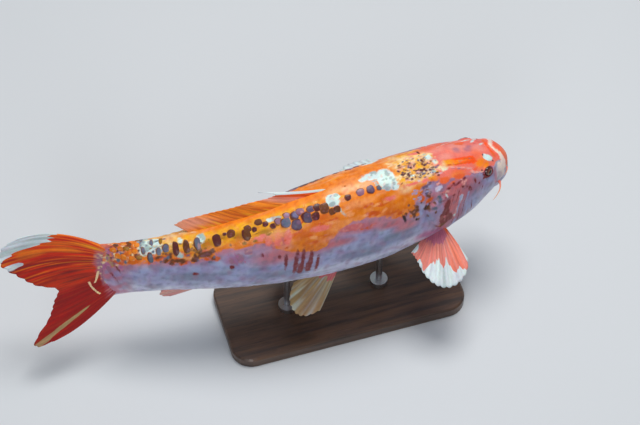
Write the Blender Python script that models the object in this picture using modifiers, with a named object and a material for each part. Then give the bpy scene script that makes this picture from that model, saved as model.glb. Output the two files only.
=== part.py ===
"""A life-size koi carp, cruising with a slight bend, on a plain display stand.

The fish is laid out first as if it were straight. A place on it is (along, left, up): the distance from
the snout towards the tail, the distance to the fish's left of the backbone line, and the height above it.
place() then bends that layout along the backbone, so the body and all of its fins share one curve.

Metres, +Z up. The fish heads along +X. The origin is the middle of the stand's underside.
"""

import math

import bmesh
import bpy
import numpy as np
from mathutils import Vector

# ---- driving dimensions ---------------------------------------------------------------------------------

BODY = 0.500  # snout to the root of the tail fin
AXIS_HEIGHT = 0.160  # of the backbone line above the floor, at the middle of the fish
MIDDLE = 0.44 * BODY  # the station that stands over the origin
PITCH = math.radians(5)  # nose up
HEAD_TURN = math.radians(11)  # the head is turned to the fish's left
STEM_TURN = math.radians(-13)  # the tail stem swings to the left
FIN_TURN = math.radians(17)  # and the tail fin curls back to the right
TAIL_ROLL = math.radians(22)  # the back leans to the left by the end of the tail

GAP = 0.0003  # left between neighbouring solids
COVER_RISE = 0.0018  # a gill cover stands this far proud of the cheek
EYE_RADIUS = 0.0068

NOSE_ROUND = 0.036 * BODY  # length of the rounded snout
STEM_ROUND = 0.036 * BODY  # length of the rounded end of the tail stem
BODY_SEGMENTS = 26  # round the body
BODY_RINGS = 44  # along the body

# Shares of BODY: station, height of the back, depth of the belly, half width, and the height of the
# widest level. Above and below that level each section is a quarter of a super-ellipse.
STATIONS = (
    (0.000, 0.032, 0.034, 0.038, 0.000),
    (0.040, 0.051, 0.050, 0.053, -0.005),
    (0.090, 0.071, 0.069, 0.069, -0.012),
    (0.160, 0.099, 0.090, 0.084, -0.016),
    (0.250, 0.124, 0.110, 0.092, -0.014),
    (0.380, 0.141, 0.129, 0.096, -0.006),
    (0.520, 0.133, 0.128, 0.090, 0.000),
    (0.660, 0.111, 0.108, 0.074, 0.002),
    (0.800, 0.086, 0.083, 0.052, 0.002),
    (0.920, 0.073, 0.070, 0.035, 0.001),
    (1.000, 0.076, 0.073, 0.020, 0.000),
    (1.040, 0.080, 0.077, 0.014, 0.000),
)
# Powers of the sections' quarter super-ellipses: below 1 is boxier than an ellipse.
POWERS = ((0.00, 0.80, 0.90), (0.15, 0.80, 0.92), (0.35, 0.95, 0.90), (1.04, 1.00, 1.00))

# Where the body is parted, as shares of BODY.
PARTING = {
    "head": (None, 0.232),
    "trunk_front": (0.232, 0.400),
    "trunk_middle": (0.400, 0.600),
    "trunk_rear": (0.600, 0.800),
    "tail_stem": (0.800, None),
}

# name: colour, roughness, metallic
FINISHES = {
    "orange_skin": ((0.86, 0.28, 0.05), 0.32, 0.0),
    "head_skin": ((0.85, 0.30, 0.19), 0.30, 0.0),
    "pale_skin": ((0.74, 0.66, 0.70), 0.35, 0.0),
    "fin_orange": ((0.85, 0.22, 0.05), 0.40, 0.0),
    "fin_pale": ((0.80, 0.74, 0.66), 0.40, 0.0),
    "eye": ((0.05, 0.04, 0.04), 0.08, 0.0),
    "stand_wood": ((0.05, 0.045, 0.04), 0.45, 0.0),
    "stand_steel": ((0.60, 0.60, 0.60), 0.30, 1.0),
}


# ---- curves and the bent layout -------------------------------------------------------------------------


def smooth(share):
    """An S-curve from 0 to 1."""
    share = np.clip(share, 0, 1)
    return share * share * (3 - 2 * share)


def through(at, stations, values):
    """A smooth curve through the stations' values: a cubic between each two, with sampled slopes."""
    stations, values = np.asarray(stations, float), np.asarray(values, float)
    slopes = np.gradient(values, stations)
    i = np.clip(np.searchsorted(stations, at) - 1, 0, len(stations) - 2)
    step = stations[i + 1] - stations[i]
    t = np.clip((at - stations[i]) / step, 0, 1)
    rise = values[i + 1] - values[i]
    a = slopes[i] * step - rise
    b = rise - slopes[i + 1] * step
    return values[i] + t * rise + t * (1 - t) * ((1 - t) * a + t * b)


def heading(along):
    """The fish's heading at a station, in radians left of +X."""
    share = along / BODY
    head = HEAD_TURN * (1 - smooth((share - 0.12) / 0.38))
    stem = STEM_TURN * smooth((share - 0.50) / 0.45)
    fin = FIN_TURN * smooth((share - 0.93) / 0.32)
    return head + stem + fin


SPINE_AT = np.arange(-0.10 * BODY, 1.60 * BODY, 0.002)


def backbone():
    """Points of the backbone line at SPINE_AT."""
    yaw = heading(SPINE_AT)
    step = np.stack([-np.cos(yaw) * math.cos(PITCH), -np.sin(yaw) * math.cos(PITCH)], 1)
    step = np.column_stack([step, np.full(len(yaw), -math.sin(PITCH))])
    step *= SPINE_AT[1] - SPINE_AT[0]
    points = np.cumsum(step, 0)
    middle = [np.interp(MIDDLE, SPINE_AT, points[:, k]) for k in range(3)]
    return points - middle + [0, 0, AXIS_HEIGHT]


SPINE = backbone()


def place(along, left, up):
    """The world position of a place on the fish."""
    origin = Vector([np.interp(along, SPINE_AT, SPINE[:, k]) for k in range(3)])
    yaw = float(heading(along))
    roll = TAIL_ROLL * float(smooth((along / BODY - 0.5) / 0.65))
    ahead = Vector((math.cos(yaw) * math.cos(PITCH), math.sin(yaw) * math.cos(PITCH), math.sin(PITCH)))
    side = Vector((-math.sin(yaw), math.cos(yaw), 0))
    top = ahead.cross(side)
    left_axis = side * math.cos(roll) - top * math.sin(roll)
    up_axis = top * math.cos(roll) + side * math.sin(roll)
    return origin + left_axis * left + up_axis * up


def outline(along):
    """Height of the back, depth of the belly, half width and widest level at a station, before rounding."""
    rows = np.array(STATIONS).T * BODY
    return [float(through(along, rows[0], rows[k])) for k in (1, 2, 3, 4)]


def rounding(along):
    """1 along the body, falling to 0 over the rounded snout and the rounded end of the tail stem."""
    nose = max(0.0, 1 - along / NOSE_ROUND)
    stem = max(0.0, (along - BODY) / STEM_ROUND)
    return math.sqrt(max(0.0, 1 - min(1, nose) ** 2)) * math.sqrt(max(0.0, 1 - min(1, stem) ** 2))


def skin(along, turn):
    """A place on the skin. turn is 0 on the back, a quarter turn on the right flank, a half on the belly."""
    crown, belly, half, level = outline(along)
    narrow = rounding(along)
    powers = np.array(POWERS).T
    upper, lower = (float(np.interp(along / BODY, powers[0], powers[k])) for k in (1, 2))
    power = upper if math.cos(turn) > 0 else lower
    reach = (crown - level) if math.cos(turn) > 0 else (belly + level)
    across = math.copysign(abs(math.sin(turn)) ** power, math.sin(turn))
    height = math.copysign(abs(math.cos(turn)) ** power, math.cos(turn))
    return along, -across * half * narrow, level + height * reach * narrow


def station(share):
    """The station at a share of the way from the snout's tip to the end of the stem, close-set at both."""
    return (BODY + STEM_ROUND) * (1 - math.cos(math.pi * share)) / 2


# ---- building helpers -----------------------------------------------------------------------------------


def clear_scene():
    for thing in list(bpy.data.objects):
        bpy.data.objects.remove(thing)


def collection(name):
    made = bpy.data.collections.new(name)
    bpy.context.scene.collection.children.link(made)
    return made


def finish_of(name):
    """The material of that name, made the first time it is asked for."""
    found = bpy.data.materials.get(name)
    if found:
        return found
    colour, roughness, metallic = FINISHES[name]
    made = bpy.data.materials.new(name)
    made.use_nodes = True
    shader = made.node_tree.nodes["Principled BSDF"]
    shader.inputs["Base Color"].default_value = (*colour, 1)
    shader.inputs["Roughness"].default_value = roughness
    shader.inputs["Metallic"].default_value = metallic
    made.diffuse_color = (*colour, 1)
    return made


def face_outward(bm):
    """Turns all faces of a closed surface outward."""
    bmesh.ops.recalc_face_normals(bm, faces=bm.faces)
    if bm.calc_volume(signed=True) < 0:
        bmesh.ops.reverse_faces(bm, faces=bm.faces)
    bm.normal_update()


def solid(name, bm, finish, where):
    """The bmesh as an object of that name, with its faces pointing out and shaded smooth."""
    face_outward(bm)
    mesh = bpy.data.meshes.new(name)
    bm.to_mesh(mesh)
    bm.free()
    mesh.shade_smooth()
    mesh.set_sharp_from_angle(angle=math.radians(40))
    made = bpy.data.objects.new(name, mesh)
    where.objects.link(made)
    if finish:
        mesh.materials.append(finish_of(finish))
    else:
        made.hide_render = True
        made.display_type = "WIRE"
    return made


def boolean(target, other, operation="DIFFERENCE"):
    made = target.modifiers.new(f"{operation.lower()} {other.name}", "BOOLEAN")
    made.operation = operation
    made.object = other
    made.solver = "EXACT"


# ---- the body -------------------------------------------------------------------------------------------


def body_mesh(grow=0.0):
    """The whole body as one closed surface: a ball whose poles become the snout and the end of the stem."""
    bm = bmesh.new()
    bmesh.ops.create_uvsphere(bm, u_segments=BODY_SEGMENTS, v_segments=BODY_RINGS, radius=1)
    for vert in bm.verts:
        share = math.acos(max(-1.0, min(1.0, vert.co.z))) / math.pi
        turn = math.atan2(vert.co.y, vert.co.x)
        vert.co = place(*skin(station(share), turn))
    face_outward(bm)
    offsets = [vert.normal * grow * vert.calc_shell_factor() for vert in bm.verts]
    for vert, offset in zip(bm.verts, offsets):
        vert.co += offset
    return bm


def cut_across(bm, along, keep_tail_side):
    """Cuts the body square to the backbone at a station, keeps one side and closes the cut."""
    at = place(along, 0, 0)
    towards_tail = (place(along + 0.001, 0, 0) - place(along - 0.001, 0, 0)).normalized()
    every = bm.verts[:] + bm.edges[:] + bm.faces[:]
    bmesh.ops.bisect_plane(
        bm,
        geom=every,
        plane_co=at,
        plane_no=towards_tail,
        clear_outer=not keep_tail_side,
        clear_inner=keep_tail_side,
    )
    bmesh.ops.holes_fill(bm, edges=[e for e in bm.edges if e.is_boundary], sides=0)


def make_body(parts):
    """The lengths of the body, each parted from the next by a thin cut."""
    lengths = {}
    for name, (start, end) in PARTING.items():
        bm = body_mesh()
        if start is not None:
            cut_across(bm, start * BODY + GAP / 2, keep_tail_side=True)
        if end is not None:
            cut_across(bm, end * BODY - GAP / 2, keep_tail_side=False)
        finish = "head_skin" if name == "head" else "orange_skin"
        lengths[name] = solid(name, bm, finish, parts)
    return lengths


# ---- the head's own pieces ------------------------------------------------------------------------------

COVER_CENTRE = (0.176 * BODY, -0.012 * BODY)  # along, up
COVER_REACH = (0.066 * BODY, 0.074 * BODY)  # half its length, half its height
COVER_LEAN = 0.50  # its top lies this much further back for its height
COVER_BOX = 0.80  # power of the cover's outline: below 1 is boxier than an ellipse
COVER_SEGMENTS = 32
COVER_BLOCK = (0.003, 0.070)  # its cutting block runs from near the midline to clear of the cheek


def side_block(name, outline_points, inner, outer, where):
    """A block with that outline in (along, up), from one distance left of the backbone to another."""
    bm = bmesh.new()
    count = len(outline_points)
    bmesh.ops.create_cone(bm, cap_ends=True, segments=count, radius1=1, radius2=1, depth=2)
    for vert in bm.verts:
        turn = math.atan2(vert.co.y, vert.co.x)
        along, up = outline_points[round(turn / math.tau * count) % count]
        vert.co = place(along, outer if vert.co.z > 0 else inner, up)
    return solid(name, bm, None, where)


def cover_outline():
    """The gill cover's outline in (along, up): a super-ellipse that leans back at the top."""
    points = []
    for k in range(COVER_SEGMENTS):
        turn = math.tau * k / COVER_SEGMENTS
        reach = [math.copysign(abs(f(turn)) ** COVER_BOX, f(turn)) for f in (math.cos, math.sin)]
        along, up = (share * size for share, size in zip(reach, COVER_REACH))
        points.append((COVER_CENTRE[0] + along + COVER_LEAN * up, COVER_CENTRE[1] + up))
    return points


def make_gill_covers(parts, cutters):
    """A thin plate that lies on each cheek, over the joint of head and trunk."""
    outside = solid("guide_cover_outside", body_mesh(COVER_RISE), None, cutters)
    inside = solid("guide_cover_inside", body_mesh(GAP), None, cutters)
    for side, sign in (("left", 1), ("right", -1)):
        inner, outer = (sign * reach for reach in COVER_BLOCK)
        block = side_block(f"guide_cover_{side}", cover_outline(), inner, outer, cutters)
        cover = bpy.data.objects.new(f"gill_cover_{side}", block.data.copy())
        parts.objects.link(cover)
        cover.data.materials.append(finish_of("head_skin"))
        boolean(cover, outside, "INTERSECT")
        boolean(cover, inside)


# Shares of BODY (along, up): ahead of the lips, the corner of the mouth, behind the chin, below the lips.
JAW_OUTLINE = ((-0.040, -0.006), (0.052, -0.032), (0.100, -0.110), (-0.040, -0.110))
JAW_HALF_WIDTH = 0.060  # of the cutting block, wider than the head


def make_jaw(parts, cutters, head):
    """The lower jaw, parted from the head along the mouth and behind the chin."""
    closed = [(along * BODY, up * BODY) for along, up in JAW_OUTLINE]
    lips, corner, chin, below = closed
    opened = [
        (lips[0], lips[1] + 2 * GAP),
        (corner[0] + GAP, corner[1] + GAP),
        (chin[0] + GAP, chin[1]),
        below,
    ]
    block = side_block("guide_jaw", closed, -JAW_HALF_WIDTH, JAW_HALF_WIDTH, cutters)
    recess = side_block("guide_jaw_recess", opened, -JAW_HALF_WIDTH, JAW_HALF_WIDTH, cutters)
    jaw = solid("lower_jaw", body_mesh(), "pale_skin", parts)
    boolean(jaw, block, "INTERSECT")
    boolean(head, recess)


EYE_ALONG = 0.080 * BODY
EYE_TURN = math.radians(52)
EYE_SINK = 0.62  # the centre's depth under the skin, as a share of the radius


def eye_centre(sign):
    """sign is 1 on the right. The eye sits in the cheek with under half of it showing."""
    surface = place(*skin(EYE_ALONG, sign * EYE_TURN))
    inside = place(EYE_ALONG, 0, 0.004)
    return surface + (inside - surface).normalized() * EYE_RADIUS * EYE_SINK


def ball(name, centre, radius, finish, where):
    bm = bmesh.new()
    bmesh.ops.create_uvsphere(bm, u_segments=16, v_segments=10, radius=radius)
    bmesh.ops.translate(bm, verts=bm.verts, vec=centre)
    return solid(name, bm, finish, where)


def make_eyes(parts, cutters, head):
    for side, sign in (("left", -1), ("right", 1)):
        centre = eye_centre(sign)
        ball(f"eye_{side}", centre, EYE_RADIUS, "eye", parts)
        boolean(head, ball(f"guide_socket_{side}", centre, EYE_RADIUS + GAP, None, cutters))


# name: station, turn from the back, length, radius at the root, all for the right side
BARBELS = {
    "barbel_lip": (0.020 * BODY, math.radians(88), 0.010, 0.0009),
    "barbel_corner": (0.050 * BODY, math.radians(102), 0.022, 0.0012),
}
BARBEL_TIP = 0.35  # radius at the tip, as a share of the root's
BARBEL_POINTS = 7
BARBEL_SWEEP = 0.75  # how far the tip trails back, as a share of the length
BARBEL_SAG = 0.35  # and how far it hangs


def make_barbels(parts):
    """Two pairs of feelers, on the upper lip and at the corners of the mouth, trailing back and down."""
    for name, (along, turn, length, radius) in BARBELS.items():
        for side, sign in (("left", -1), ("right", 1)):
            surface = place(*skin(along, sign * turn))
            out = (surface - place(along, 0, outline(along)[3])).normalized()
            back = (place(along + 0.01, 0, 0) - place(along, 0, 0)).normalized()
            start = surface + out * 2 * GAP
            data = bpy.data.curves.new(f"{name}_{side}", "CURVE")
            data.dimensions = "3D"
            data.bevel_depth = radius
            data.bevel_resolution = 2
            data.use_fill_caps = True
            line = data.splines.new("POLY")
            line.points.add(BARBEL_POINTS - 1)
            for k, point in enumerate(line.points):
                share = k / (BARBEL_POINTS - 1)
                ahead = out * (share - BARBEL_SAG * share**2)
                bend = (back * BARBEL_SWEEP - Vector((0, 0, BARBEL_SAG))) * share**2
                point.co = (*(start + (ahead + bend) * length), 1)
                point.radius = 1 + (BARBEL_TIP - 1) * share
            made = bpy.data.objects.new(f"{name}_{side}", data)
            data.materials.append(finish_of("head_skin"))
            parts.objects.link(made)


# ---- the fins -------------------------------------------------------------------------------------------


class Fin:
    """A fan of rays. Its root is a line of places, and its rays turn from the front one to the back one.

    root: a function of the share from the front ray to the back one, giving a place on the fish
    front, back: the directions of the first and the last ray as (along, left, up)
    length: of the longest ray
    reach: (share, share of length) at a few rays
    curl: how far every ray's tip bends over, as (along, left, up) shares of its length
    gather: how far the outer rays' tips bend towards the middle ray, as a share of their length
    ripple: height of the waves across the rays, at their tips
    """

    def __init__(self, root, front, back, length, reach, curl=(0, 0, 0), gather=0.0, ripple=0.0, waves=2.5):
        self.root = root
        self.front = Vector(front).normalized()
        self.back = Vector(back).normalized()
        self.length = length
        self.reach = np.array(reach).T
        self.curl = Vector(curl)
        self.gather = (self.back - self.front).normalized() * gather
        self.ripple = ripple
        self.waves = waves
        self.normal = self.front.cross(self.back).normalized()

    def point(self, across, out):
        """The place at a share across the rays and a share out along them."""
        ray = self.front.slerp(self.back, across)
        length = self.length * float(through(across, *self.reach))
        wave = math.sin(math.tau * self.waves * across) * self.ripple * out * out
        bend = (self.curl + self.gather * (1 - 2 * across)) * length * out * out
        return self.root(across) + ray * length * out + bend + self.normal * wave


def back_line(start, end, sink):
    """Root of a fin along the back, sunk into it."""

    def root(share):
        along = (start + (end - start) * share) * BODY
        return Vector((along, 0, outline(along)[0] - sink))

    return root


def belly_line(start, end, sink):
    """Root of a fin along the belly, sunk into it."""

    def root(share):
        along = (start + (end - start) * share) * BODY
        return Vector((along, 0, -outline(along)[1] + sink))

    return root


STEM_ARC = (0.985 * BODY, 0.025 * BODY, 0.058 * BODY)  # start, bulge and half height of the tail fin's root


def stem_line(share):
    """Root of the tail fin, an arc across the end of the stem."""
    start, bulge, half = STEM_ARC
    return Vector((start + bulge * math.sin(math.pi * share), 0, half * math.cos(math.pi * share)))


def flank_line(start, end, sink):
    """Root of a paired fin between two (station, turn) places on the skin, sunk into it."""

    def root(share):
        along = (start[0] + (end[0] - start[0]) * share) * BODY
        turn = math.radians(start[1] + (end[1] - start[1]) * share)
        surface = Vector(skin(along, turn))
        inside = Vector((along, 0, outline(along)[3]))
        return surface + (inside - surface).normalized() * sink

    return root


FINS = {
    "dorsal_fin": Fin(
        back_line(0.400, 0.775, 0.008),
        front=(0.95, 0.07, 0.20),
        back=(0.80, 0.20, 0.55),
        length=0.098,
        reach=((0, 1.07), (0.05, 0.88), (0.12, 0.68), (0.25, 0.51), (0.45, 0.47), (0.60, 0.42), (0.75, 0.39),
               (0.90, 0.37), (1, 0.30)),
        curl=(0.05, 0.08, -0.06),
        ripple=0.0012,
    ),
    "anal_fin": Fin(
        belly_line(0.735, 0.800, 0.008),
        front=(0.96, -0.08, -0.17),
        back=(0.99, -0.04, -0.05),
        length=0.064,
        reach=((0, 0.95), (0.2, 1.00), (0.6, 0.80), (1, 0.55)),
        curl=(0.10, 0.0, 0.04),
        ripple=0.001,
    ),
    "caudal_fin": Fin(
        stem_line,
        front=(0.75, -0.03, 0.66),
        back=(0.73, -0.07, -0.68),
        length=0.132,
        reach=((0, 0.96), (0.08, 1.01), (0.22, 0.96), (0.36, 0.74), (0.46, 0.60), (0.54, 0.45), (0.66, 0.53),
               (0.80, 0.72), (0.93, 1.09), (1, 0.96)),
        gather=0.31,
        ripple=0.003,
        waves=1.5,
    ),
    "pectoral_fin_right": Fin(
        flank_line((0.213, 120.5), (0.238, 131.5), 0.007),
        front=(-0.20, -0.88, -0.43),
        back=(0.87, -0.48, -0.09),
        length=0.076,
        reach=((0, 0.70), (0.12, 0.87), (0.25, 0.97), (0.38, 0.98), (0.5, 0.91), (0.62, 0.78), (0.75, 0.63),
               (0.88, 0.54), (1, 0.49)),
        curl=(0.03, 0.0, -0.06),
        ripple=0.0012,
    ),
    "pectoral_fin_left": Fin(
        flank_line((0.213, -120.5), (0.238, -131.5), 0.007),
        front=(0.40, 0.90, -0.18),
        back=(0.96, 0.19, -0.19),
        length=0.104,
        reach=((0, 0.74), (0.15, 0.90), (0.35, 1.00), (0.6, 0.97), (0.8, 0.84), (1, 0.62)),
        curl=(0.05, 0.0, 0.02),
        ripple=0.0012,
    ),
    "pelvic_fin_right": Fin(
        flank_line((0.462, 152), (0.500, 164), 0.007),
        front=(0.56, -0.55, -0.60),
        back=(0.95, -0.15, -0.30),
        length=0.072,
        reach=((0, 0.84), (0.25, 1.00), (0.6, 0.90), (1, 0.55)),
        curl=(0.06, 0.0, 0.04),
        ripple=0.001,
    ),
    "pelvic_fin_left": Fin(
        flank_line((0.462, -152), (0.500, -164), 0.007),
        front=(0.66, 0.48, -0.56),
        back=(0.97, 0.12, -0.28),
        length=0.072,
        reach=((0, 0.84), (0.25, 1.00), (0.6, 0.90), (1, 0.55)),
        curl=(0.06, 0.0, 0.04),
        ripple=0.001,
    ),
}
# node: fin, first and last share of the rays it holds, columns, rows, thickness at the root, finish
BLADES = {
    "dorsal_fin": ("dorsal_fin", 0, 1, 22, 6, 0.0045, "fin_orange"),
    "anal_fin": ("anal_fin", 0, 1, 9, 6, 0.0040, "fin_pale"),
    "caudal_fin_upper": ("caudal_fin", 0, 0.5, 12, 8, 0.0060, "fin_orange"),
    "caudal_fin_lower": ("caudal_fin", 0.5, 1, 12, 8, 0.0060, "fin_orange"),
    "pectoral_fin_right": ("pectoral_fin_right", 0, 1, 12, 7, 0.0060, "fin_orange"),
    "pectoral_fin_left": ("pectoral_fin_left", 0, 1, 12, 7, 0.0060, "fin_pale"),
    "pelvic_fin_right": ("pelvic_fin_right", 0, 1, 9, 6, 0.0050, "fin_pale"),
    "pelvic_fin_left": ("pelvic_fin_left", 0, 1, 9, 6, 0.0050, "fin_pale"),
}
FIN_EDGE = 0.0009  # thickness at the tips of the rays


def make_fins(parts, cutters):
    """Each fin is a grid laid over its rays and given a thickness, then trimmed to the body."""
    trim = solid("guide_fin_trim", body_mesh(GAP), None, cutters)
    for name, (fin_name, first, last, columns, rows, thickness, finish) in BLADES.items():
        fin = FINS[fin_name]
        width = last - first
        parting = GAP / (fin.length * 2)
        first += parting if first > 0 else 0
        width = (last - parting if last < 1 else last) - first
        bm = bmesh.new()
        bmesh.ops.create_grid(bm, x_segments=columns, y_segments=rows, size=0.5)
        places = [(first + width * (v.co.x + 0.5), v.co.y + 0.5) for v in bm.verts]
        for vert, (across, out) in zip(bm.verts, places):
            vert.co = place(*fin.point(across, out))
        blade = solid(name, bm, finish, parts)
        root = blade.vertex_groups.new(name="root")
        for k, (_, out) in enumerate(places):
            root.add([k], (1 - out) ** 2, "REPLACE")
        thick = blade.modifiers.new("thickness", "SOLIDIFY")
        thick.thickness = thickness
        thick.offset = 0
        thick.vertex_group = root.name
        thick.thickness_vertex_group = FIN_EDGE / thickness
        boolean(blade, trim)


# ---- the stand ------------------------------------------------------------------------------------------

BASE_SIZE = (0.300, 0.130, 0.014)
BASE_CORNER = 0.026
BASE_CHAMFER = 0.002
ROD_RADIUS = 0.004
COLLAR = (0.011, 0.007)  # radius, height
SADDLE = (0.013, 0.014)  # radius, height before it is trimmed to the belly
SADDLE_SEAT = 0.004  # height of the saddle under the belly's lowest line
ROD_STATIONS = {"front": 0.345 * BODY, "rear": 0.585 * BODY}


def upright(name, x, y, low, high, radius, finish, where, segments=20):
    """A round bar standing between two heights."""
    bm = bmesh.new()
    bmesh.ops.create_cone(
        bm, cap_ends=True, segments=segments, radius1=radius, radius2=radius, depth=high - low
    )
    bmesh.ops.translate(bm, verts=bm.verts, vec=(x, y, (low + high) / 2))
    return solid(name, bm, finish, where)


def make_base(parts):
    """A flat plate with round corners and a chamfered top edge."""
    length, width, height = BASE_SIZE
    bm = bmesh.new()
    bmesh.ops.create_cube(bm, size=1)
    bmesh.ops.scale(bm, verts=bm.verts, vec=BASE_SIZE)
    bmesh.ops.translate(bm, verts=bm.verts, vec=(0, 0, height / 2))
    corners = [e for e in bm.edges if abs(e.verts[0].co.z - e.verts[1].co.z) > height / 2]
    bmesh.ops.bevel(bm, geom=corners, offset=BASE_CORNER, segments=8, profile=0.5, affect="EDGES")
    rim = [e for e in bm.edges if all(v.co.z > height * 0.99 for v in e.verts)]
    bmesh.ops.bevel(bm, geom=rim, offset=BASE_CHAMFER, segments=1, affect="EDGES")
    solid("stand_base", bm, "stand_wood", parts)


def make_stand(parts, cutters):
    """The base, and two rods up to saddles that are shaped to the belly."""
    make_base(parts)
    top = BASE_SIZE[2] + GAP
    trim = solid("guide_saddle_trim", body_mesh(GAP), None, cutters)
    for end, along in ROD_STATIONS.items():
        belly = place(along, 0, -outline(along)[1])
        x, y = belly.x, belly.y
        seat = belly.z - SADDLE_SEAT
        upright(f"stand_collar_{end}", x, y, top, top + COLLAR[1], COLLAR[0], "stand_steel", parts)
        rod_low, rod_high = top + COLLAR[1] + GAP, seat - GAP
        upright(f"stand_rod_{end}", x, y, rod_low, rod_high, ROD_RADIUS, "stand_steel", parts)
        saddle = upright(
            f"stand_saddle_{end}", x, y, seat, seat + SADDLE[1], SADDLE[0], "stand_steel", parts
        )
        boolean(saddle, trim)


def main():
    clear_scene()
    parts = collection("koi_carp")
    cutters = collection("guides")
    cutters.hide_render = True
    lengths = make_body(parts)
    make_gill_covers(parts, cutters)
    make_jaw(parts, cutters, lengths["head"])
    make_eyes(parts, cutters, lengths["head"])
    make_barbels(parts)
    make_fins(parts, cutters)
    make_stand(parts, cutters)


main()
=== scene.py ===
"""The looks of a life-size koi carp on a plain display stand: skin, fins, scales, eyes, stand and stage.

A place on the fish is (along, left, up), as if it were straight: the distance from the snout towards the
tail, to the fish's left of the backbone line, and above it. place() bends that layout into the pose.
A site on the body's skin is (share, turn): the share of BODY from the snout, and the angle from the back,
0 on the back, a quarter turn on the right flank and a half on the belly.

Metres, +Z up. The fish heads along +X. The origin is the middle of the stand's underside.
"""

import math

import bmesh
import bpy
import numpy as np
from bpy.props import FloatProperty, FloatVectorProperty, IntProperty, PointerProperty
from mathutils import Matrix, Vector


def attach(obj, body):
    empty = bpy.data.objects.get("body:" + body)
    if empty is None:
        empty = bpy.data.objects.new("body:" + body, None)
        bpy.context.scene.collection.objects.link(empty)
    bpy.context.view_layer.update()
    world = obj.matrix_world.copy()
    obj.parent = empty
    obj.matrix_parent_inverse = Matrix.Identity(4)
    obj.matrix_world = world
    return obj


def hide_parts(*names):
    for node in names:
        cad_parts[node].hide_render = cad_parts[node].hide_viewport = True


bl_info = {
    "name": "Koi carp on a stand",
    "version": (1, 0, 0),
    "blender": (4, 5, 0),
    "location": "View3D > Sidebar > Koi",
    "description": "Builds the skin, scales, eyes, stand and stage of a life-size koi carp",
    "category": "Object",
}

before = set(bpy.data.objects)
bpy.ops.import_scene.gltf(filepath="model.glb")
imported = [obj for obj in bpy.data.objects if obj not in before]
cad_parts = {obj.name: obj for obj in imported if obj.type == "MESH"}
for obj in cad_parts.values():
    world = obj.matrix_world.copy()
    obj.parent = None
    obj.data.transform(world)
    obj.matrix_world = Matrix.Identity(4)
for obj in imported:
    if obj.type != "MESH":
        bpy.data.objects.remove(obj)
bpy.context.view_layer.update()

# ---- driving dimensions, as the solids have them ----

BODY = 0.500  # snout to the root of the tail fin
AXIS_HEIGHT = 0.160  # of the backbone line above the floor, at the middle of the fish
MIDDLE = 0.44 * BODY
PITCH = math.radians(5)  # of the head above the tail
HEAD_TURN = math.radians(11)  # to the fish's left
STEM_TURN = math.radians(-13)
FIN_TURN = math.radians(17)
TAIL_ROLL = math.radians(22)
# Shares of BODY where each of these bends starts, and its run.
HEAD_BEND, STEM_BEND, FIN_BEND, ROLL_BEND = (0.12, 0.38), (0.50, 0.45), (0.93, 0.32), (0.50, 0.65)
NOSE_ROUND = STEM_ROUND = 0.036 * BODY  # lengths of the body's rounded ends
TAIL_END = BODY + STEM_ROUND

# Shares of BODY: station, height of the back, depth of the belly, half width, and height of the widest level.
STATIONS = (
    (0.000, 0.032, 0.034, 0.038, 0.000),
    (0.040, 0.051, 0.050, 0.053, -0.005),
    (0.090, 0.071, 0.069, 0.069, -0.012),
    (0.160, 0.099, 0.090, 0.084, -0.016),
    (0.250, 0.124, 0.110, 0.092, -0.014),
    (0.380, 0.141, 0.129, 0.096, -0.006),
    (0.520, 0.133, 0.128, 0.090, 0.000),
    (0.660, 0.111, 0.108, 0.074, 0.002),
    (0.800, 0.086, 0.083, 0.052, 0.002),
    (0.920, 0.073, 0.070, 0.035, 0.001),
    (1.000, 0.076, 0.073, 0.020, 0.000),
    (1.040, 0.080, 0.077, 0.014, 0.000),
)
# Powers of the sections' quarter super-ellipses above and below the widest level, by station.
POWERS = ((0.00, 0.80, 0.90), (0.15, 0.80, 0.92), (0.35, 0.95, 0.90), (1.04, 1.00, 1.00))

EYE_RADIUS = 0.0068
EYE_ALONG = 0.080 * BODY
EYE_TURN = math.radians(52)
EYE_GAZE = math.radians(76)  # the turn whose outward direction the pupil looks in
EYE_LEVEL = 0.004  # height of the place between the eyes that they sink towards
EYE_SINK = 0.62  # the centre's depth under the skin, as a share of the radius
COVER_CENTRE = (0.176 * BODY, -0.012 * BODY)  # of the gill cover, along and up
COVER_REACH = (0.066 * BODY, 0.074 * BODY)  # half its length and half its height
COVER_LEAN = 0.50  # how far it leans back per unit of height
COVER_BOX = 0.80  # power of its super-elliptic outline
MOUTH_FRONT = (-0.040 * BODY, -0.006 * BODY)  # the mouth's line runs from here, along and up,
MOUTH_CORNER = (0.052 * BODY, -0.032 * BODY)  # to here


def linear(red, green, blue):
    """A colour given in 0 to 255, as the shaders take it."""
    shares = [value / 255 for value in (red, green, blue)]
    return tuple(s / 12.92 if s <= 0.04045 else ((s + 0.055) / 1.055) ** 2.4 for s in shares)


COLOUR_KIND = {"subtype": "COLOR", "min": 0, "max": 1}


def colour_property(name, description, *rgb):
    return FloatVectorProperty(name=name, description=description, default=linear(*rgb), **COLOUR_KIND)


def number_property(name, description, default, **kind):
    return FloatProperty(name=name, description=description, default=default, **kind)


def length_property(name, description, default):
    return number_property(name, description, default, unit="LENGTH", min=0)


def angle_property(name, description, degrees):
    return number_property(name, description, math.radians(degrees), subtype="ANGLE")


# ---- what a user may change ----


class KoiSizes(bpy.types.PropertyGroup):
    """Sizes of the fish's fine shapes."""

    segments: IntProperty(name="Segments", description="Faces round the body", default=164, min=24)
    lip_height: length_property("Lip height", "How far the lips stand proud", 0.0016)
    mouth_depth: length_property("Mouth depth", "Depth of the slit between the lips", 0.0042)
    cover_rise: length_property("Gill cover rise", "How far a gill cover's rear edge stands proud", 0.0017)
    nostril_depth: length_property("Nostril depth", "Depth of the nostril pits", 0.0016)
    fin_edge: length_property("Fin edge", "Thickness of the fins at their tips", 0.0006)
    scale_rise: length_property("Scale rise", "How far the middle of a large scale stands proud", 0.00035)


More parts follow.
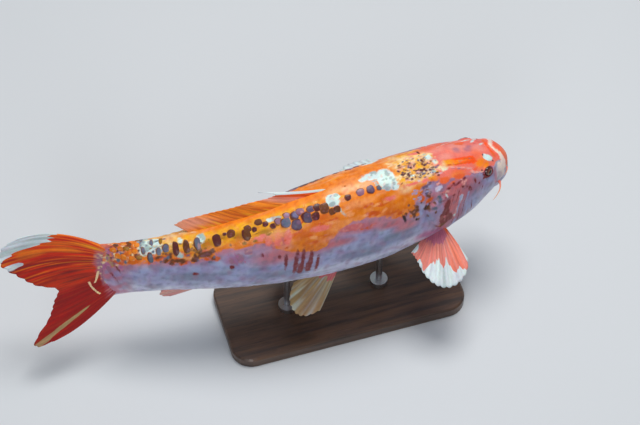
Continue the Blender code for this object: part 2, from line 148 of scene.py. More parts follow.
class KoiColours(bpy.types.PropertyGroup):
    """Colours of the fish."""

    # On the head, salmon is partly a painted sheen over orange-red.
    salmon: colour_property("Salmon", "Top of the head", 240, 120, 106)
    peach: colour_property("Peach", "Streaks of the back", 246, 158, 92)
    coral: colour_property("Coral", "Spots of the gill covers, right breast fin", 240, 104, 52)
    vivid: colour_property("Vivid orange", "Bright patch on the head", 255, 84, 6)
    orange: colour_property("Orange", "The back", 250, 138, 18)
    burnt: colour_property("Burnt orange", "Streaks of the back", 212, 88, 4)
    amber: colour_property("Amber", "The flanks", 232, 126, 0)
    yellow: colour_property("Yellow", "Beside the row of scales and on the nape", 244, 176, 18)
    olive: colour_property("Olive", "Mottling beside the scales", 150, 104, 14)
    cream: colour_property("Cream", "Nape and tail stem", 248, 218, 166)
    blaze: colour_property("Blaze", "Pale band across the snout", 240, 220, 206)
    frost: colour_property("Frost white", "White patches of the back", 214, 240, 236)
    mist: colour_property("Mist", "Pale grey-green patches", 166, 190, 188)
    blush: colour_property("Blush", "Pale pink lines and clouds", 240, 172, 160)
    flush: colour_property("Flush", "Under the orange on the flanks", 204, 106, 110)
    dusk: colour_property("Dusk", "Smudges of the head, pale scales", 156, 110, 136)
    lavender: colour_property("Lavender", "The lower flanks and the face", 158, 164, 204)
    pearl: colour_property("Pearl", "The belly", 206, 206, 228)
    mauve: colour_property("Mauve", "Roots of the fins", 176, 104, 148)
    oxblood: colour_property("Oxblood", "Dark red bars and blotches", 122, 30, 34)
    maroon: colour_property("Maroon", "Dark red-brown scales and flecks", 88, 30, 30)
    plum: colour_property("Plum", "The large scales", 100, 84, 112)
    slate: colour_property("Slate", "Blue-grey scales", 96, 108, 128)
    umber: colour_property("Umber", "Brown patches and scales", 108, 58, 20)
    ink: colour_property("Ink", "Black flecks", 46, 26, 36)
    brick: colour_property("Brick", "Dark strokes of the fins", 170, 44, 8)
    tail_red: colour_property("Tail red", "Upper lobe of the tail fin", 216, 44, 0)
    tail_crimson: colour_property("Tail crimson", "Lower lobe of the tail fin", 158, 4, 0)
    fin_white: colour_property("Fin white", "Tips of the fins", 222, 236, 238)
    sand: colour_property("Sand", "Pelvic fins and the tail fin's stripe", 172, 144, 98)


class KoiStage(bpy.types.PropertyGroup):
    """Floor, light and camera."""

    floor: colour_property("Floor", "Colour of the floor", 214, 218, 222)
    key_power: number_property("Key light", "Power of the large soft light", 40.0, unit="POWER")
    fill_power: number_property("Fill light", "Power of the light from the front", 10.0, unit="POWER")
    azimuth: angle_property("Azimuth", "Of the camera round the fish", -17.1)
    elevation: angle_property("Elevation", "Of the camera above the floor", 52.9)
    distance: length_property("Distance", "From the camera to its target", 2.212)


def palette():
    """The fish's colours by name, as arrays."""
    group = bpy.context.scene.koi_colours
    return {name: np.array(getattr(group, name)) for name in KoiColours.__annotations__}


# ---- curves and the bent layout ----


def smooth(share):
    """An S-curve from 0 to 1."""
    share = np.clip(share, 0, 1)
    return share * share * (3 - 2 * share)


def ramp(value, start, run):
    """An S-curve from 0 at the start to 1 after the run."""
    return smooth((value - start) / run)


def bell(distance, width):
    """1 at no distance, falling away over about that width."""
    return np.exp(-((distance / width) ** 2))


def unit(vectors):
    """Vectors of length 1, along the last axis."""
    vectors = np.asarray(vectors, float)
    return vectors / np.maximum(np.linalg.norm(vectors, axis=-1, keepdims=True), 1e-12)


def through(at, stations, values):
    """A smooth curve through the stations' values: a cubic between each two, with sampled slopes."""
    stations, values = np.asarray(stations, float), np.asarray(values, float)
    slopes = np.gradient(values, stations)
    i = np.clip(np.searchsorted(stations, at) - 1, 0, len(stations) - 2)
    step = stations[i + 1] - stations[i]
    t = np.clip((at - stations[i]) / step, 0, 1)
    rise = values[i + 1] - values[i]
    a = slopes[i] * step - rise
    b = rise - slopes[i + 1] * step
    return values[i] + t * rise + t * (1 - t) * ((1 - t) * a + t * b)


def heading(along):
    """The fish's heading at a station, in radians left of +X."""
    share = along / BODY
    head = HEAD_TURN * (1 - ramp(share, *HEAD_BEND))
    return head + STEM_TURN * ramp(share, *STEM_BEND) + FIN_TURN * ramp(share, *FIN_BEND)


SPINE_AT = np.arange(-0.10 * BODY, 1.60 * BODY, 0.002)


def ahead_of(yaw):
    """The direction ahead at a heading."""
    level = math.cos(PITCH)
    return np.stack([np.cos(yaw) * level, np.sin(yaw) * level, np.full_like(yaw, math.sin(PITCH))], -1)


def backbone():
    """Points of the backbone line at SPINE_AT."""
    points = np.cumsum(-ahead_of(heading(SPINE_AT)) * (SPINE_AT[1] - SPINE_AT[0]), 0)
    middle = [np.interp(MIDDLE, SPINE_AT, points[:, k]) for k in range(3)]
    return points - middle + [0, 0, AXIS_HEIGHT]


SPINE = backbone()


def place(places):
    """World positions of places on the fish."""
    places = np.asarray(places, float)
    along, left, up = places[..., 0], places[..., 1:2], places[..., 2:3]
    origin = np.stack([np.interp(along, SPINE_AT, SPINE[:, k]) for k in range(3)], -1)
    yaw = heading(along)
    roll = (TAIL_ROLL * ramp(along / BODY, *ROLL_BEND))[..., None]
    ahead = ahead_of(yaw)
    side = np.stack([-np.sin(yaw), np.cos(yaw), np.zeros_like(yaw)], -1)
    top = np.cross(ahead, side)
    left_axis = side * np.cos(roll) - top * np.sin(roll)
    up_axis = top * np.cos(roll) + side * np.sin(roll)
    return origin + left_axis * left + up_axis * up


def outline(along):
    """Height of the back, depth of the belly, half width and widest level at a station, before rounding."""
    rows = np.array(STATIONS).T * BODY
    return [through(along, rows[0], rows[k]) for k in (1, 2, 3, 4)]


def rounding(along):
    """1 along the body, falling to 0 over the rounded snout and the rounded end of the tail stem."""
    nose = np.clip(1 - along / NOSE_ROUND, 0, 1)
    stem = np.clip((along - BODY) / STEM_ROUND, 0, 1)
    return np.sqrt(1 - nose**2) * np.sqrt(1 - stem**2)


def skin(along, turn):
    """Places on the plain skin."""
    along, turn = np.broadcast_arrays(np.asarray(along, float), np.asarray(turn, float))
    crown, belly, half, level = outline(along)
    narrow = rounding(along)
    powers = np.array(POWERS).T
    upper, lower = (np.interp(along / BODY, powers[0], powers[k]) for k in (1, 2))
    above = np.cos(turn) > 0
    power = np.where(above, upper, lower)
    reach = np.where(above, crown - level, belly + level)
    across = np.sign(np.sin(turn)) * np.abs(np.sin(turn)) ** power
    height = np.sign(np.cos(turn)) * np.abs(np.cos(turn)) ** power
    return np.stack([along, -across * half * narrow, level + height * reach * narrow], -1)


TIP = 2e-5  # within this of either end the skin faces straight ahead or straight back


def outward(along, turn):
    """The plain skin's outward directions, in the layout's own axes."""
    step, swing = 0.0001, 0.01
    ahead = skin(np.minimum(along + step, TAIL_END), turn) - skin(np.maximum(along - step, 0), turn)
    around = skin(along, turn + swing) - skin(along, turn - swing)
    normal = np.cross(around, ahead)
    normal[np.asarray(along) < TIP] = (-1, 0, 0)
    normal[np.asarray(along) > TAIL_END - TIP] = (1, 0, 0)
    return unit(normal)


def girth(along):
    """The section's mean radius at a station."""
    crown, belly, half, _ = outline(along)
    return (crown + belly + 2 * half) / 4 * rounding(along)


def ripples(places, wavelength, seed, waves=14):
    """Smooth random swells of about that wavelength, from -1 to 1, at places in metres."""
    draw = np.random.default_rng(seed)
    directions = unit(draw.normal(size=(waves, 3))) * draw.uniform(0.7, 1.4, (waves, 1))
    phases = draw.uniform(0, math.tau, waves)
    total = np.sin(np.asarray(places) @ directions.T * (math.tau / wavelength) + phases).sum(-1)
    return np.clip(total / math.sqrt(waves) / 1.5, -1, 1)


# ---- the relief of head and body ----
# A ridge is given as its distance from the line it follows, its height, which is below 0 for a groove, and
# its width, all in metres.


def ridge(distance, at, height, width):
    """Heights of a rounded ridge, or of a groove, by the distance from the line it follows."""
    return height * bell(distance - at, width)


SLIT_WIDTH = 0.0009
SLIT_END, LIP_END = 0.005, 0.009  # how far past the mouth's corners the slit and the lips run out
LOWER_LIP_SHARE = 0.9  # of the upper lip's height
LIP_FOLDS = ((0.0068, -0.0010, 0.0012), (-0.0062, -0.0008, 0.0012))


def mouth_relief(places, sizes):
    """A slit from corner to corner of the mouth, between two full lips, with a fold behind each."""
    along, up = places[:, 0], places[:, 2]
    slope = (MOUTH_CORNER[1] - MOUTH_FRONT[1]) / (MOUTH_CORNER[0] - MOUTH_FRONT[0])
    over = up - (MOUTH_FRONT[1] + slope * (along - MOUTH_FRONT[0]))
    past = np.maximum(along - MOUTH_CORNER[0], 0)
    over = np.where(over < 0, -1, 1) * np.hypot(over, past)
    slit = ridge(over, 0, -sizes.mouth_depth, SLIT_WIDTH)
    upper = ridge(over, 0.0026, sizes.lip_height, 0.0021)
    lower = ridge(over, -0.0024, sizes.lip_height * LOWER_LIP_SHARE, 0.0020)
    lips = upper + lower + sum(ridge(over, *fold) for fold in LIP_FOLDS)
    return slit * (1 - smooth(past / SLIT_END)) + lips * (1 - smooth(past / LIP_END))


# A nostril's two pits: station and turn in degrees, share of the depth, width, and the ridge of the rim.
NOSTRIL_PITS = (
    ((0.056, 33.0), 1.0, 0.0010, (0.0019, 0.0005, 0.0008)),
    ((0.072, 15.0), 1.2, 0.0013, (0.0023, 0.0005, 0.0009)),
)
NOSTRIL_FLAP = (0, 0.0010, 0.0036)


def site_distance(places, share, turn_degrees):
    """Distances of places from a site on the skin, on either side of the fish."""
    spot = skin(share * BODY, math.radians(turn_degrees))
    mirrored = spot * [1, -1, 1]
    return np.minimum(*(np.linalg.norm(places - at, axis=-1) for at in (spot, mirrored)))


def nostril_relief(places, sizes):
    """Two pits on each side of the snout, with a fleshy flap raised between them."""
    middle = [(front + rear) / 2 for front, rear in zip(*(pit[0] for pit in NOSTRIL_PITS))]
    total = ridge(site_distance(places, *middle), *NOSTRIL_FLAP)
    for site, depth, width, rim in NOSTRIL_PITS:
        apart = site_distance(places, *site)
        total += ridge(apart, *rim) - ridge(apart, 0, sizes.nostril_depth * depth, width)
    return total


def eye_centre_place(sign):
    """The eye's centre as a place. sign is 1 on the right."""
    surface = skin(EYE_ALONG, sign * EYE_TURN)
    inside = np.array([EYE_ALONG, 0, EYE_LEVEL])
    return surface + unit(inside - surface) * EYE_RADIUS * EYE_SINK


EYE_RIM, EYE_GROOVE = (0.0063, 0.0010, 0.0011), (0.0088, -0.0005, 0.0012)
SOCKET_RADIUS, SOCKET_EDGE, SOCKET_DEPTH = 0.0045, 0.0011, 0.0030
SOCKET_BACK = -0.002  # nothing deeper than this behind the eye's centre belongs to its socket


def eye_relief(places):
    """A socket round each eye, with a low fleshy rim and a groove outside it."""
    total = np.zeros(len(places))
    for sign in (1, -1):
        centre = eye_centre_place(sign)
        axis = unit(skin(EYE_ALONG, sign * EYE_TURN) - centre)
        apart = places - centre
        depth = apart @ axis
        wide = np.linalg.norm(apart - depth[:, None] * axis, axis=-1)
        wide = np.where(depth > SOCKET_BACK, wide, 1)
        total += ridge(wide, *EYE_RIM) + ridge(wide, *EYE_GROOVE)
        total -= SOCKET_DEPTH * (1 - ramp(wide, SOCKET_RADIUS, SOCKET_EDGE))
    return total


def cover_distance(places):
    """How far inside a gill cover's outline places lie, and their share of the way from front to rear."""
    up = places[:, 2] - COVER_CENTRE[1]
    along = places[:, 0] - COVER_CENTRE[0] - COVER_LEAN * up
    x, y = along / COVER_REACH[0], up / COVER_REACH[1]
    reach = (np.abs(x) ** (2 / COVER_BOX) + np.abs(y) ** (2 / COVER_BOX)) ** (COVER_BOX / 2)
    return (1 - reach) * COVER_REACH[0], (x + 1) / 2


# By the distance inside the cover's outline.
COVER_LIP, COVER_GROOVE = (0.0020, 0.0004, 0.0014), (-0.0014, -0.0017, 0.0013)
CHEEK_GROOVE, COVER_SEAM = (0.0165, -0.0006, 0.0013), (0.0080, -0.0006, 0.0008)


def gill_relief(places, sizes):
    """Gill covers with a raised, free rear edge over a groove, and with seams between their bones."""
    inside, back = cover_distance(places)
    low = smooth((-places[:, 2] - 0.018) / 0.010)
    free = np.maximum(ramp(back, 0.25, 0.45), low * smooth((back + 0.1) / 0.3))
    rise = sizes.cover_rise * smooth((inside + 0.0004) / 0.0016)
    edge = (rise + ridge(inside, *COVER_LIP) + ridge(inside, *COVER_GROOVE)) * free
    cheek = ridge(inside, *CHEEK_GROOVE) * ramp(back, 0.15, 0.2) * (1 - low)
    return edge + cheek + ridge(inside, *COVER_SEAM) * low * ramp(back, 0.3, 0.2)


SKULL_EDGE, SNOUT_HOLLOW, THROAT = (0, -0.0006, 0.0016), (0, -0.0007, 0.007), (0, -0.0009, 0.0016)
HOLLOW_STATION = 0.045
# Brow and cheek: station and turn in degrees of the middle, and the ridge round it.
HEAD_SWELLS = ((0.084, 42.0, (0, 0.0013, 0.0065)), (0.118, 88.0, (0, 0.0007, 0.013)))


def head_relief(places):
    """The hollow behind the snout, the skull's edge, the brows, the cheeks and the throat's furrow."""
    along, left, up = places.T
    share = along / BODY
    nape = 0.213 - 0.9 * (np.abs(left) / BODY) ** 1.2
    skull = ridge((share - nape) * BODY, *SKULL_EDGE) + ridge((share - HOLLOW_STATION) * BODY, *SNOUT_HOLLOW)
    swells = sum(ridge(site_distance(places, *site), *form) for *site, form in HEAD_SWELLS)
    throat = ridge(left, *THROAT) * smooth((-up - 0.020) / 0.006) * smooth((0.20 - share) / 0.03)
    return skull * smooth(up / 0.006) + swells + throat * ramp(share, 0.05, 0.02)


LATERAL_START, LATERAL_END = 0.245, 0.985  # stations of the lateral line
LATERAL_HEIGHTS = ((0.24, 0.012), (0.45, 0.002), (0.8, 0.002), (1.0, 0.001))  # shares of BODY, by station
LATERAL_RIDGE, LATERAL_GROOVE = (0, 0.00030, 0.0022), (0, -0.00035, 0.0008)
PORE_SPACING = 0.0062
MUSCLE_HEIGHT, MUSCLE_SPACING, MUSCLE_LEAN = 0.00013, 0.0125, 0.35
SWELLS = ((0.00035, 0.045, 3), (0.00012, 0.012, 4))  # height, wavelength and seed


def body_relief(places):
    """The lateral line's pores, the low swell of muscle blocks and the skin's own unevenness."""
    along, _, up = places.T
    share = along / BODY
    on_line = ramp(share, LATERAL_START, 0.02) * smooth((LATERAL_END - share) / 0.02)
    off = up - BODY * np.interp(share, *np.array(LATERAL_HEIGHTS).T)
    pore = 0.5 + 0.5 * np.cos(math.tau * along / PORE_SPACING)
    line = (ridge(off, *LATERAL_RIDGE) * (0.4 + pore) + ridge(off, *LATERAL_GROOVE)) * on_line
    block = np.sin(math.tau * (along - MUSCLE_LEAN * np.abs(off)) / MUSCLE_SPACING)
    muscle = MUSCLE_HEIGHT * block * ramp(share, 0.28, 0.1) * smooth((0.97 - share) / 0.1)
    swell = sum(height * ripples(places, wavelength, seed) for height, wavelength, seed in SWELLS)
    return line + muscle + swell * smooth(along / 0.03)


STEM_PINCH = 0.80  # share of its width that the stem loses towards the tail fin


def surface(along, turn, sizes, proud=0.0):
    """Places on the true skin, or that far proud of it. The stem thins towards the tail fin."""
    plain = skin(along, turn)
    plain[:, 1] *= 1 - STEM_PINCH * ramp(along / BODY, 0.93, 0.11)
    height = sum(relief(plain, sizes) for relief in (mouth_relief, nostril_relief, gill_relief))
    height = height + sum(relief(plain) for relief in (eye_relief, head_relief, body_relief)) + proud
    return plain + outward(along, turn) * height[:, None]


# ---- markings ----
# Every point of skin, fin and scale carries five coats: what lies under all, then four layers over it.
# A layer is a colour and an edge: how far inside the layer's border the point lies, in metres.


class Paint:
    """Colours of many points: an undercoat and the layers over it. A colour is a name or its three shares."""

    LAYERS = ("coat", "patch", "spot", "fleck")

    def __init__(self, count, under):
        self.tone = palette()
        self.under = np.broadcast_to(self.colour(under), (count, 3)).copy()
        self.layers = {name: [np.zeros((count, 3)), np.full(count, -1.0)] for name in self.LAYERS}

    def colour(self, colour):
        return self.tone[colour] if isinstance(colour, str) else np.asarray(colour)

    def colours(self, layer):
        return self.under if layer == "under" else self.layers[layer][0]

    def cover(self, colour, inside):
        """Gives the coat one colour, and its edge."""
        self.layers["coat"][0][:] = self.colour(colour)
        self.layers["coat"][1][:] = inside

    def soften(self, layer, colour, share):
        """Shifts a layer's own colour, or the undercoat's, towards another by a share."""
        target = self.colours(layer)
        target += (self.colour(colour) - target) * np.clip(share, 0, 1)[:, None]

    def coat(self, colour, share):
        self.soften("coat", colour, share)

    def lay(self, layer, colour, inside):
        """Adds a mark to a layer: its colour holds wherever it is the nearest mark."""
        colours, edge = self.layers[layer]
        nearer = inside > edge
        colours[nearer] = np.broadcast_to(self.colour(colour), colours.shape)[nearer]
        edge[nearer] = inside[nearer]

    def shade(self, share):
        """Multiplies every colour by a share."""
        for layer in ("under", *self.LAYERS):
            self.colours(layer)[:] *= share[:, None]


# Marks of the body: layer, colour and whether they are on both sides, and for each mark its share, its turn
# in degrees, its half length and half width in mm and, if it leans, by how many degrees.
MARKS = (
    # the snout and the face
    ("patch", "coral", 1, ((0.012, 30, 5, 9), (0.014, 70, 4, 6), (0.046, 20, 2, 4.5, 10))),
    ("patch", "blaze", 1, ((0.036, 5, 1.7, 3.8, 20), (0.031, 15, 2, 4.2, 15), (0.028, 27, 2.6, 4.4, 5),
     (0.027, 40, 3.2, 4.6), (0.029, 53, 4.2, 4.6), (0.033, 66, 4.4, 4.6), (0.04, 58, 3.4, 5, 20))),
    # Painted highlight: the first two frost spots, on the right nostril flap, stand for a white glint on the
    # wet flap.
    ("spot", "frost", 0, ((0.064, 24, 5.2, 4.2, -48), (0.069, 19, 3.6, 3.4, -30), (0.058, -9, 3, 0.9, 20),
     (0.07, -24, 5.6, 1.5, 40), (0.084, -30, 5, 1, 10))),
    ("fleck", "ink", 1, ((0.0735, 13.5, 1, 1), (0.056, 35, 0.8, 1.2), (0.095, 43, 0.9, 0.9))),
    ("patch", "orange", 0, ((0.09, 27, 6, 3.6, 20), (0.078, 36, 4, 2.4, 20))),
    ("patch", "vivid", 1, ((0.046, 10, 1.5, 5.5, 15), (0.012, 14, 2.4, 8), (0.02, 3, 1.6, 5),
     (0.11, 35, 4, 1.3, 10), (0.098, 22, 2, 1.2))),
    ("spot", "blush", 1, ((0.102, 44, 10.5, 0.9, -21), (0.126, 30, 2.3, 1.2), (0.145, 23.5, 13, 0.9, -21),
     (0.118, 38, 3.4, 1.6, -50))),
    ("fleck", "dusk", 1, ((0.146, 26, 11, 0.5, -21), (0.104, 47, 8, 0.5, -21), (0.121, 42, 3.6, 0.7, -50))),
    # round the eye
    ("spot", "oxblood", 1, ((0.08, 54, 8.2, 6.8), (0.094, 60, 3, 1.4, 20))),
    ("fleck", "oxblood", 1, ((0.112, 64, 1.6, 1, 40), (0.122, 56, 0.8, 3, 10), (0.106, 76, 2.6, 0.6, 50))),
    # top of the head
    ("patch", "vivid", 0, ((0.14, 13, 22, 4.8, -5), (0.11, 15.5, 7.5, 5.2, -6), (0.165, 11, 9, 4.8, -6))),
    ("spot", "orange", 0, ((0.136, 12, 8, 1.2, -8), (0.152, 14, 6, 1, -4), (0.158, 10, 5, 1, -10))),
    ("spot", "burnt", 0, ((0.14, 17, 12, 0.8, -5), (0.112, 12, 5, 0.8, -10), (0.163, 13.5, 6, 0.7))),
    ("patch", "coral", 0, ((0.14, -26, 13, 3.4, 6), (0.108, -19, 6, 3))),
    # the gill cover and the cheek
    ("patch", "coral", 1, ((0.196, 35, 6, 4.2), (0.157, 37, 7, 3.6), (0.176, 42, 4, 1.8, 10))),
    ("patch", "flush", 1, ((0.187, 46, 5, 2.6), (0.203, 51, 5.5, 1.6), (0.165, 52, 6, 2))),
    ("patch", "oxblood", 1, ((0.211, 76, 5, 12, -32), (0.219, 85, 6.6, 6.6, -20), (0.205, 87, 4.4, 4, -50))),
    ("patch", "umber", 1, ((0.229, 93, 5.4, 3.4, 10), (0.222, 90, 4, 2.6, -20))),
    ("patch", "pearl", 1, ((0.216, 43, 4.6, 3, 20), (0.168, 71, 1.8, 4.6, -30))),
    ("spot", "flush", 1, ((0.217, 84, 1.8, 1.2, -20), (0.197, 72, 1.6, 6, -30))),
    ("spot", "oxblood", 1, ((0.168, 47, 4.4, 1.5, 8), (0.192, 49, 3.4, 1.3), (0.14, 64, 2.6, 3.2, 10),
     (0.121, 56, 1.6, 3.2), (0.147, 43, 2.6, 1.6, 20), (0.157, 55, 2, 1.4))),
    # Painted highlight: the first frost spot, low on the gill cover at 0.192 and 88 degrees, is a white
    # glint.
    ("spot", "frost", 1, ((0.192, 88, 1.8, 1.2, 15), (0.203, 57, 1, 2, 10))),
    ("spot", "blush", 1, ((0.197, 51, 3.4, 0.9, 12), (0.186, 84, 0.8, 4, -25))),
    ("fleck", "oxblood", 1, ((0.183, 98, 0.7, 9, -12), (0.199, 100, 0.5, 8, -12), (0.166, 86, 0.5, 8, -30),
     (0.142, 96, 0.6, 9, -5), (0.176, 66, 0.5, 8, -34), (0.192, 68, 0.5, 9, -34))),
    ("spot", "lavender", 1, ((0.176, 78, 1.2, 9, -32), (0.158, 96, 1.6, 9, -12), (0.193, 104, 1.1, 8, -12),
     (0.15, 74, 1.2, 6, -32))),
    # behind the gill cover
    ("patch", "plum", 1, ((0.247, 35, 4.6, 2.4, 20), (0.231, 32, 3.6, 1.8), (0.243, 45, 4, 3.2, 10))),
    ("patch", "slate", 1, ((0.222, 58, 3, 4.4, -10), (0.24, 66, 4, 2, -10))),
    ("patch", "burnt", 1, ((0.246, 54, 5, 2.4, 10), (0.262, 48, 4, 5, 30))),
    ("patch", "umber", 1, ((0.255, 63, 4.4, 3.4, -30), (0.285, 60, 5.6, 7, 20), (0.247, 40, 3.6, 1.2, 10))),
    ("spot", "amber", 1, ((0.29, 55, 3.6, 3.6, 20), (0.279, 66, 2.6, 2.4), (0.296, 65, 2, 3, 10))),
    ("spot", "ink", 1, ((0.311, 65, 1.9, 5, 12), (0.258, 62, 1.4, 2.6, -30), (0.284, 72, 1.6, 1.6))),
    # the nape
    ("patch", "frost", 0, ((0.203, -4, 4.8, 3.2), (0.195, 4, 3.6, 3), (0.183, 17, 4.6, 2.8),
     (0.262, 16, 3, 2))),
    ("patch", "salmon", 0, ((0.27, 26, 9, 2), (0.24, 27, 5, 2.4), (0.228, -17, 9, 3, -8))),
    ("patch", "mist", 0, ((0.235, 16, 3.2, 1.4), (0.21, 17, 3, 3), (0.207, -10, 4.6, 1.4))),
    ("spot", "maroon", 0, ((0.257, 4, 1.8, 1.5), (0.234, 11, 4.4, 1.5, -6), (0.208, 11, 2.8, 1),
     (0.275, 4, 0.9, 0.8), (0.218, -17, 1.3, 3.4, 10), (0.246, 1, 1.6, 0.8, 15), (0.222, 4, 2.4, 0.7),
     (0.226, 19, 1.6, 0.9, 10), (0.214, 3, 1.4, 0.8), (0.241, -7, 1.8, 0.6, 10), (0.204, 25, 1.6, 1.2),
     (0.217, 9, 1.2, 0.7))),
    ("fleck", "umber", 0, ((0.279, -0.5, 7, 0.4), (0.231, 0.5, 7, 0.4), (0.294, 22, 2, 0.5, 30))),
    # white and pale patches of the back
    ("patch", "frost", 0, ((0.323, 10, 10.5, 15), (0.312, 20, 6, 7), (0.35, 1, 12, 5.4, -8),
     (0.374, 2, 4.4, 3), (0.335, -34, 12, 7, 20), (0.56, -34, 12, 6, -10), (0.604, 16, 4, 3),
     (0.816, 18, 3, 5), (0.455, 16, 8.4, 8.6, -15), (0.884, 18, 12, 12), (0.9, 28, 8, 9),
     (0.77, 22, 4.6, 6.4))),
    ("patch", "mist", 0, ((0.592, 16, 6, 3.4), (0.868, 30, 7, 6), (0.906, 6, 6, 9), (0.766, 18, 4.6, 6),
     (0.822, 50, 4, 3.4), (0.442, 35, 0.9, 4.4, 20), (0.903, -12, 6, 5))),
    ("spot", "mist", 0, ((0.33, 22, 3, 4), (0.316, 2, 2, 5), (0.345, -4, 4, 2), (0.46, 21, 4, 3),
     (0.446, 11, 3, 2.4), (0.884, 10, 4, 3, 20), (0.894, 27, 4, 3))),
    # the flank
    ("patch", "amber", 1, ((0.418, 3, 2, 1.6), (0.748, 56, 3.2, 3), (0.793, 63, 2.8, 2.8))),
    ("patch", "burnt", 1, ((0.38, 47, 10, 3, -4), (0.355, 40, 5, 1.6), (0.47, 40, 6, 1.4))),
    ("patch", "salmon", 1, ((0.33, 36, 7, 2.6), (0.5, 46, 11, 3.6, -8), (0.63, 37, 4, 3),
     (0.576, 46, 4.4, 10, -14), (0.598, 46, 4, 9, -12), (0.62, 45, 3.4, 7, -10), (0.64, 40, 5, 3, -20))),
    ("patch", "flush", 1, ((0.588, 50, 1.6, 8, -12), (0.43, 56, 14, 4, -4), (0.612, 52, 1.8, 7, -8))),
    ("patch", "dusk", 1, ((0.668, 56, 5, 4), (0.69, 64, 4, 6, 20), (0.708, 68, 3, 5, 20))),
    ("spot", "oxblood", 1, ((0.572, 86, 2.4, 17, -16), (0.556, 84, 2.2, 18, -16), (0.538, 86, 2.6, 17, -16),
     (0.592, 80, 1.8, 11, -12), (0.524, 92, 2, 12, -16), (0.546, 94, 3, 9, -10), (0.564, 96, 3.2, 8, -10),
     (0.711, 78, 2.8, 2.6), (0.793, 88, 3.6, 1.8), (0.64, 64, 1.4, 2.6), (0.604, 71, 2, 2.6))),
    ("spot", "mauve", 1, ((0.694, 62, 0.9, 5, 30), (0.704, 68, 0.9, 6, 30), (0.682, 70, 0.8, 4, 30))),
    ("spot", "umber", 1, ((0.765, 52, 9, 3, 8), (0.748, 48, 4, 2.2), (0.822, 60, 7, 2),
     (0.785, 57, 3, 2.6))),
    ("fleck", "umber", 0, ((0.595, 27, 5.5, 0.9), (0.418, 3, 1, 0.9), (0.64, 31, 4, 0.6, 8))),
    # the stem
    ("patch", "umber", 1, ((0.94, 8, 1.6, 2.2), (0.94, 20, 1.6, 2.4), (0.928, 27, 1.4, 2.4),
     (0.922, 46, 3, 3), (0.951, 33, 2, 2))),
    ("spot", "coral", 1, ((0.958, 14, 1.6, 2), (0.96, 25, 1.6, 2), (0.972, 20, 1.6, 2.4))),
    ("patch", "burnt", 1, ((0.962, 52, 6, 7), (0.972, 60, 4, 4))),
    ("spot", "slate", 1, ((0.956, 44, 2.4, 3), (0.968, 58, 2.6, 3), (0.95, 62, 2, 2))),
    ("spot", "sand", 1, ((0.992, 56, 2.6, 3.6), (0.985, 70, 1.6, 3, 30))),
    ("spot", "oxblood", 1, ((0.99, 92, 1.2, 8, 35), (0.974, 76, 1.4, 6, 35))),
    ("fleck", "dusk", 1, ((0.992, 57, 1.6, 2.2), (0.994, 82, 2.4, 3.4, 20))),
)

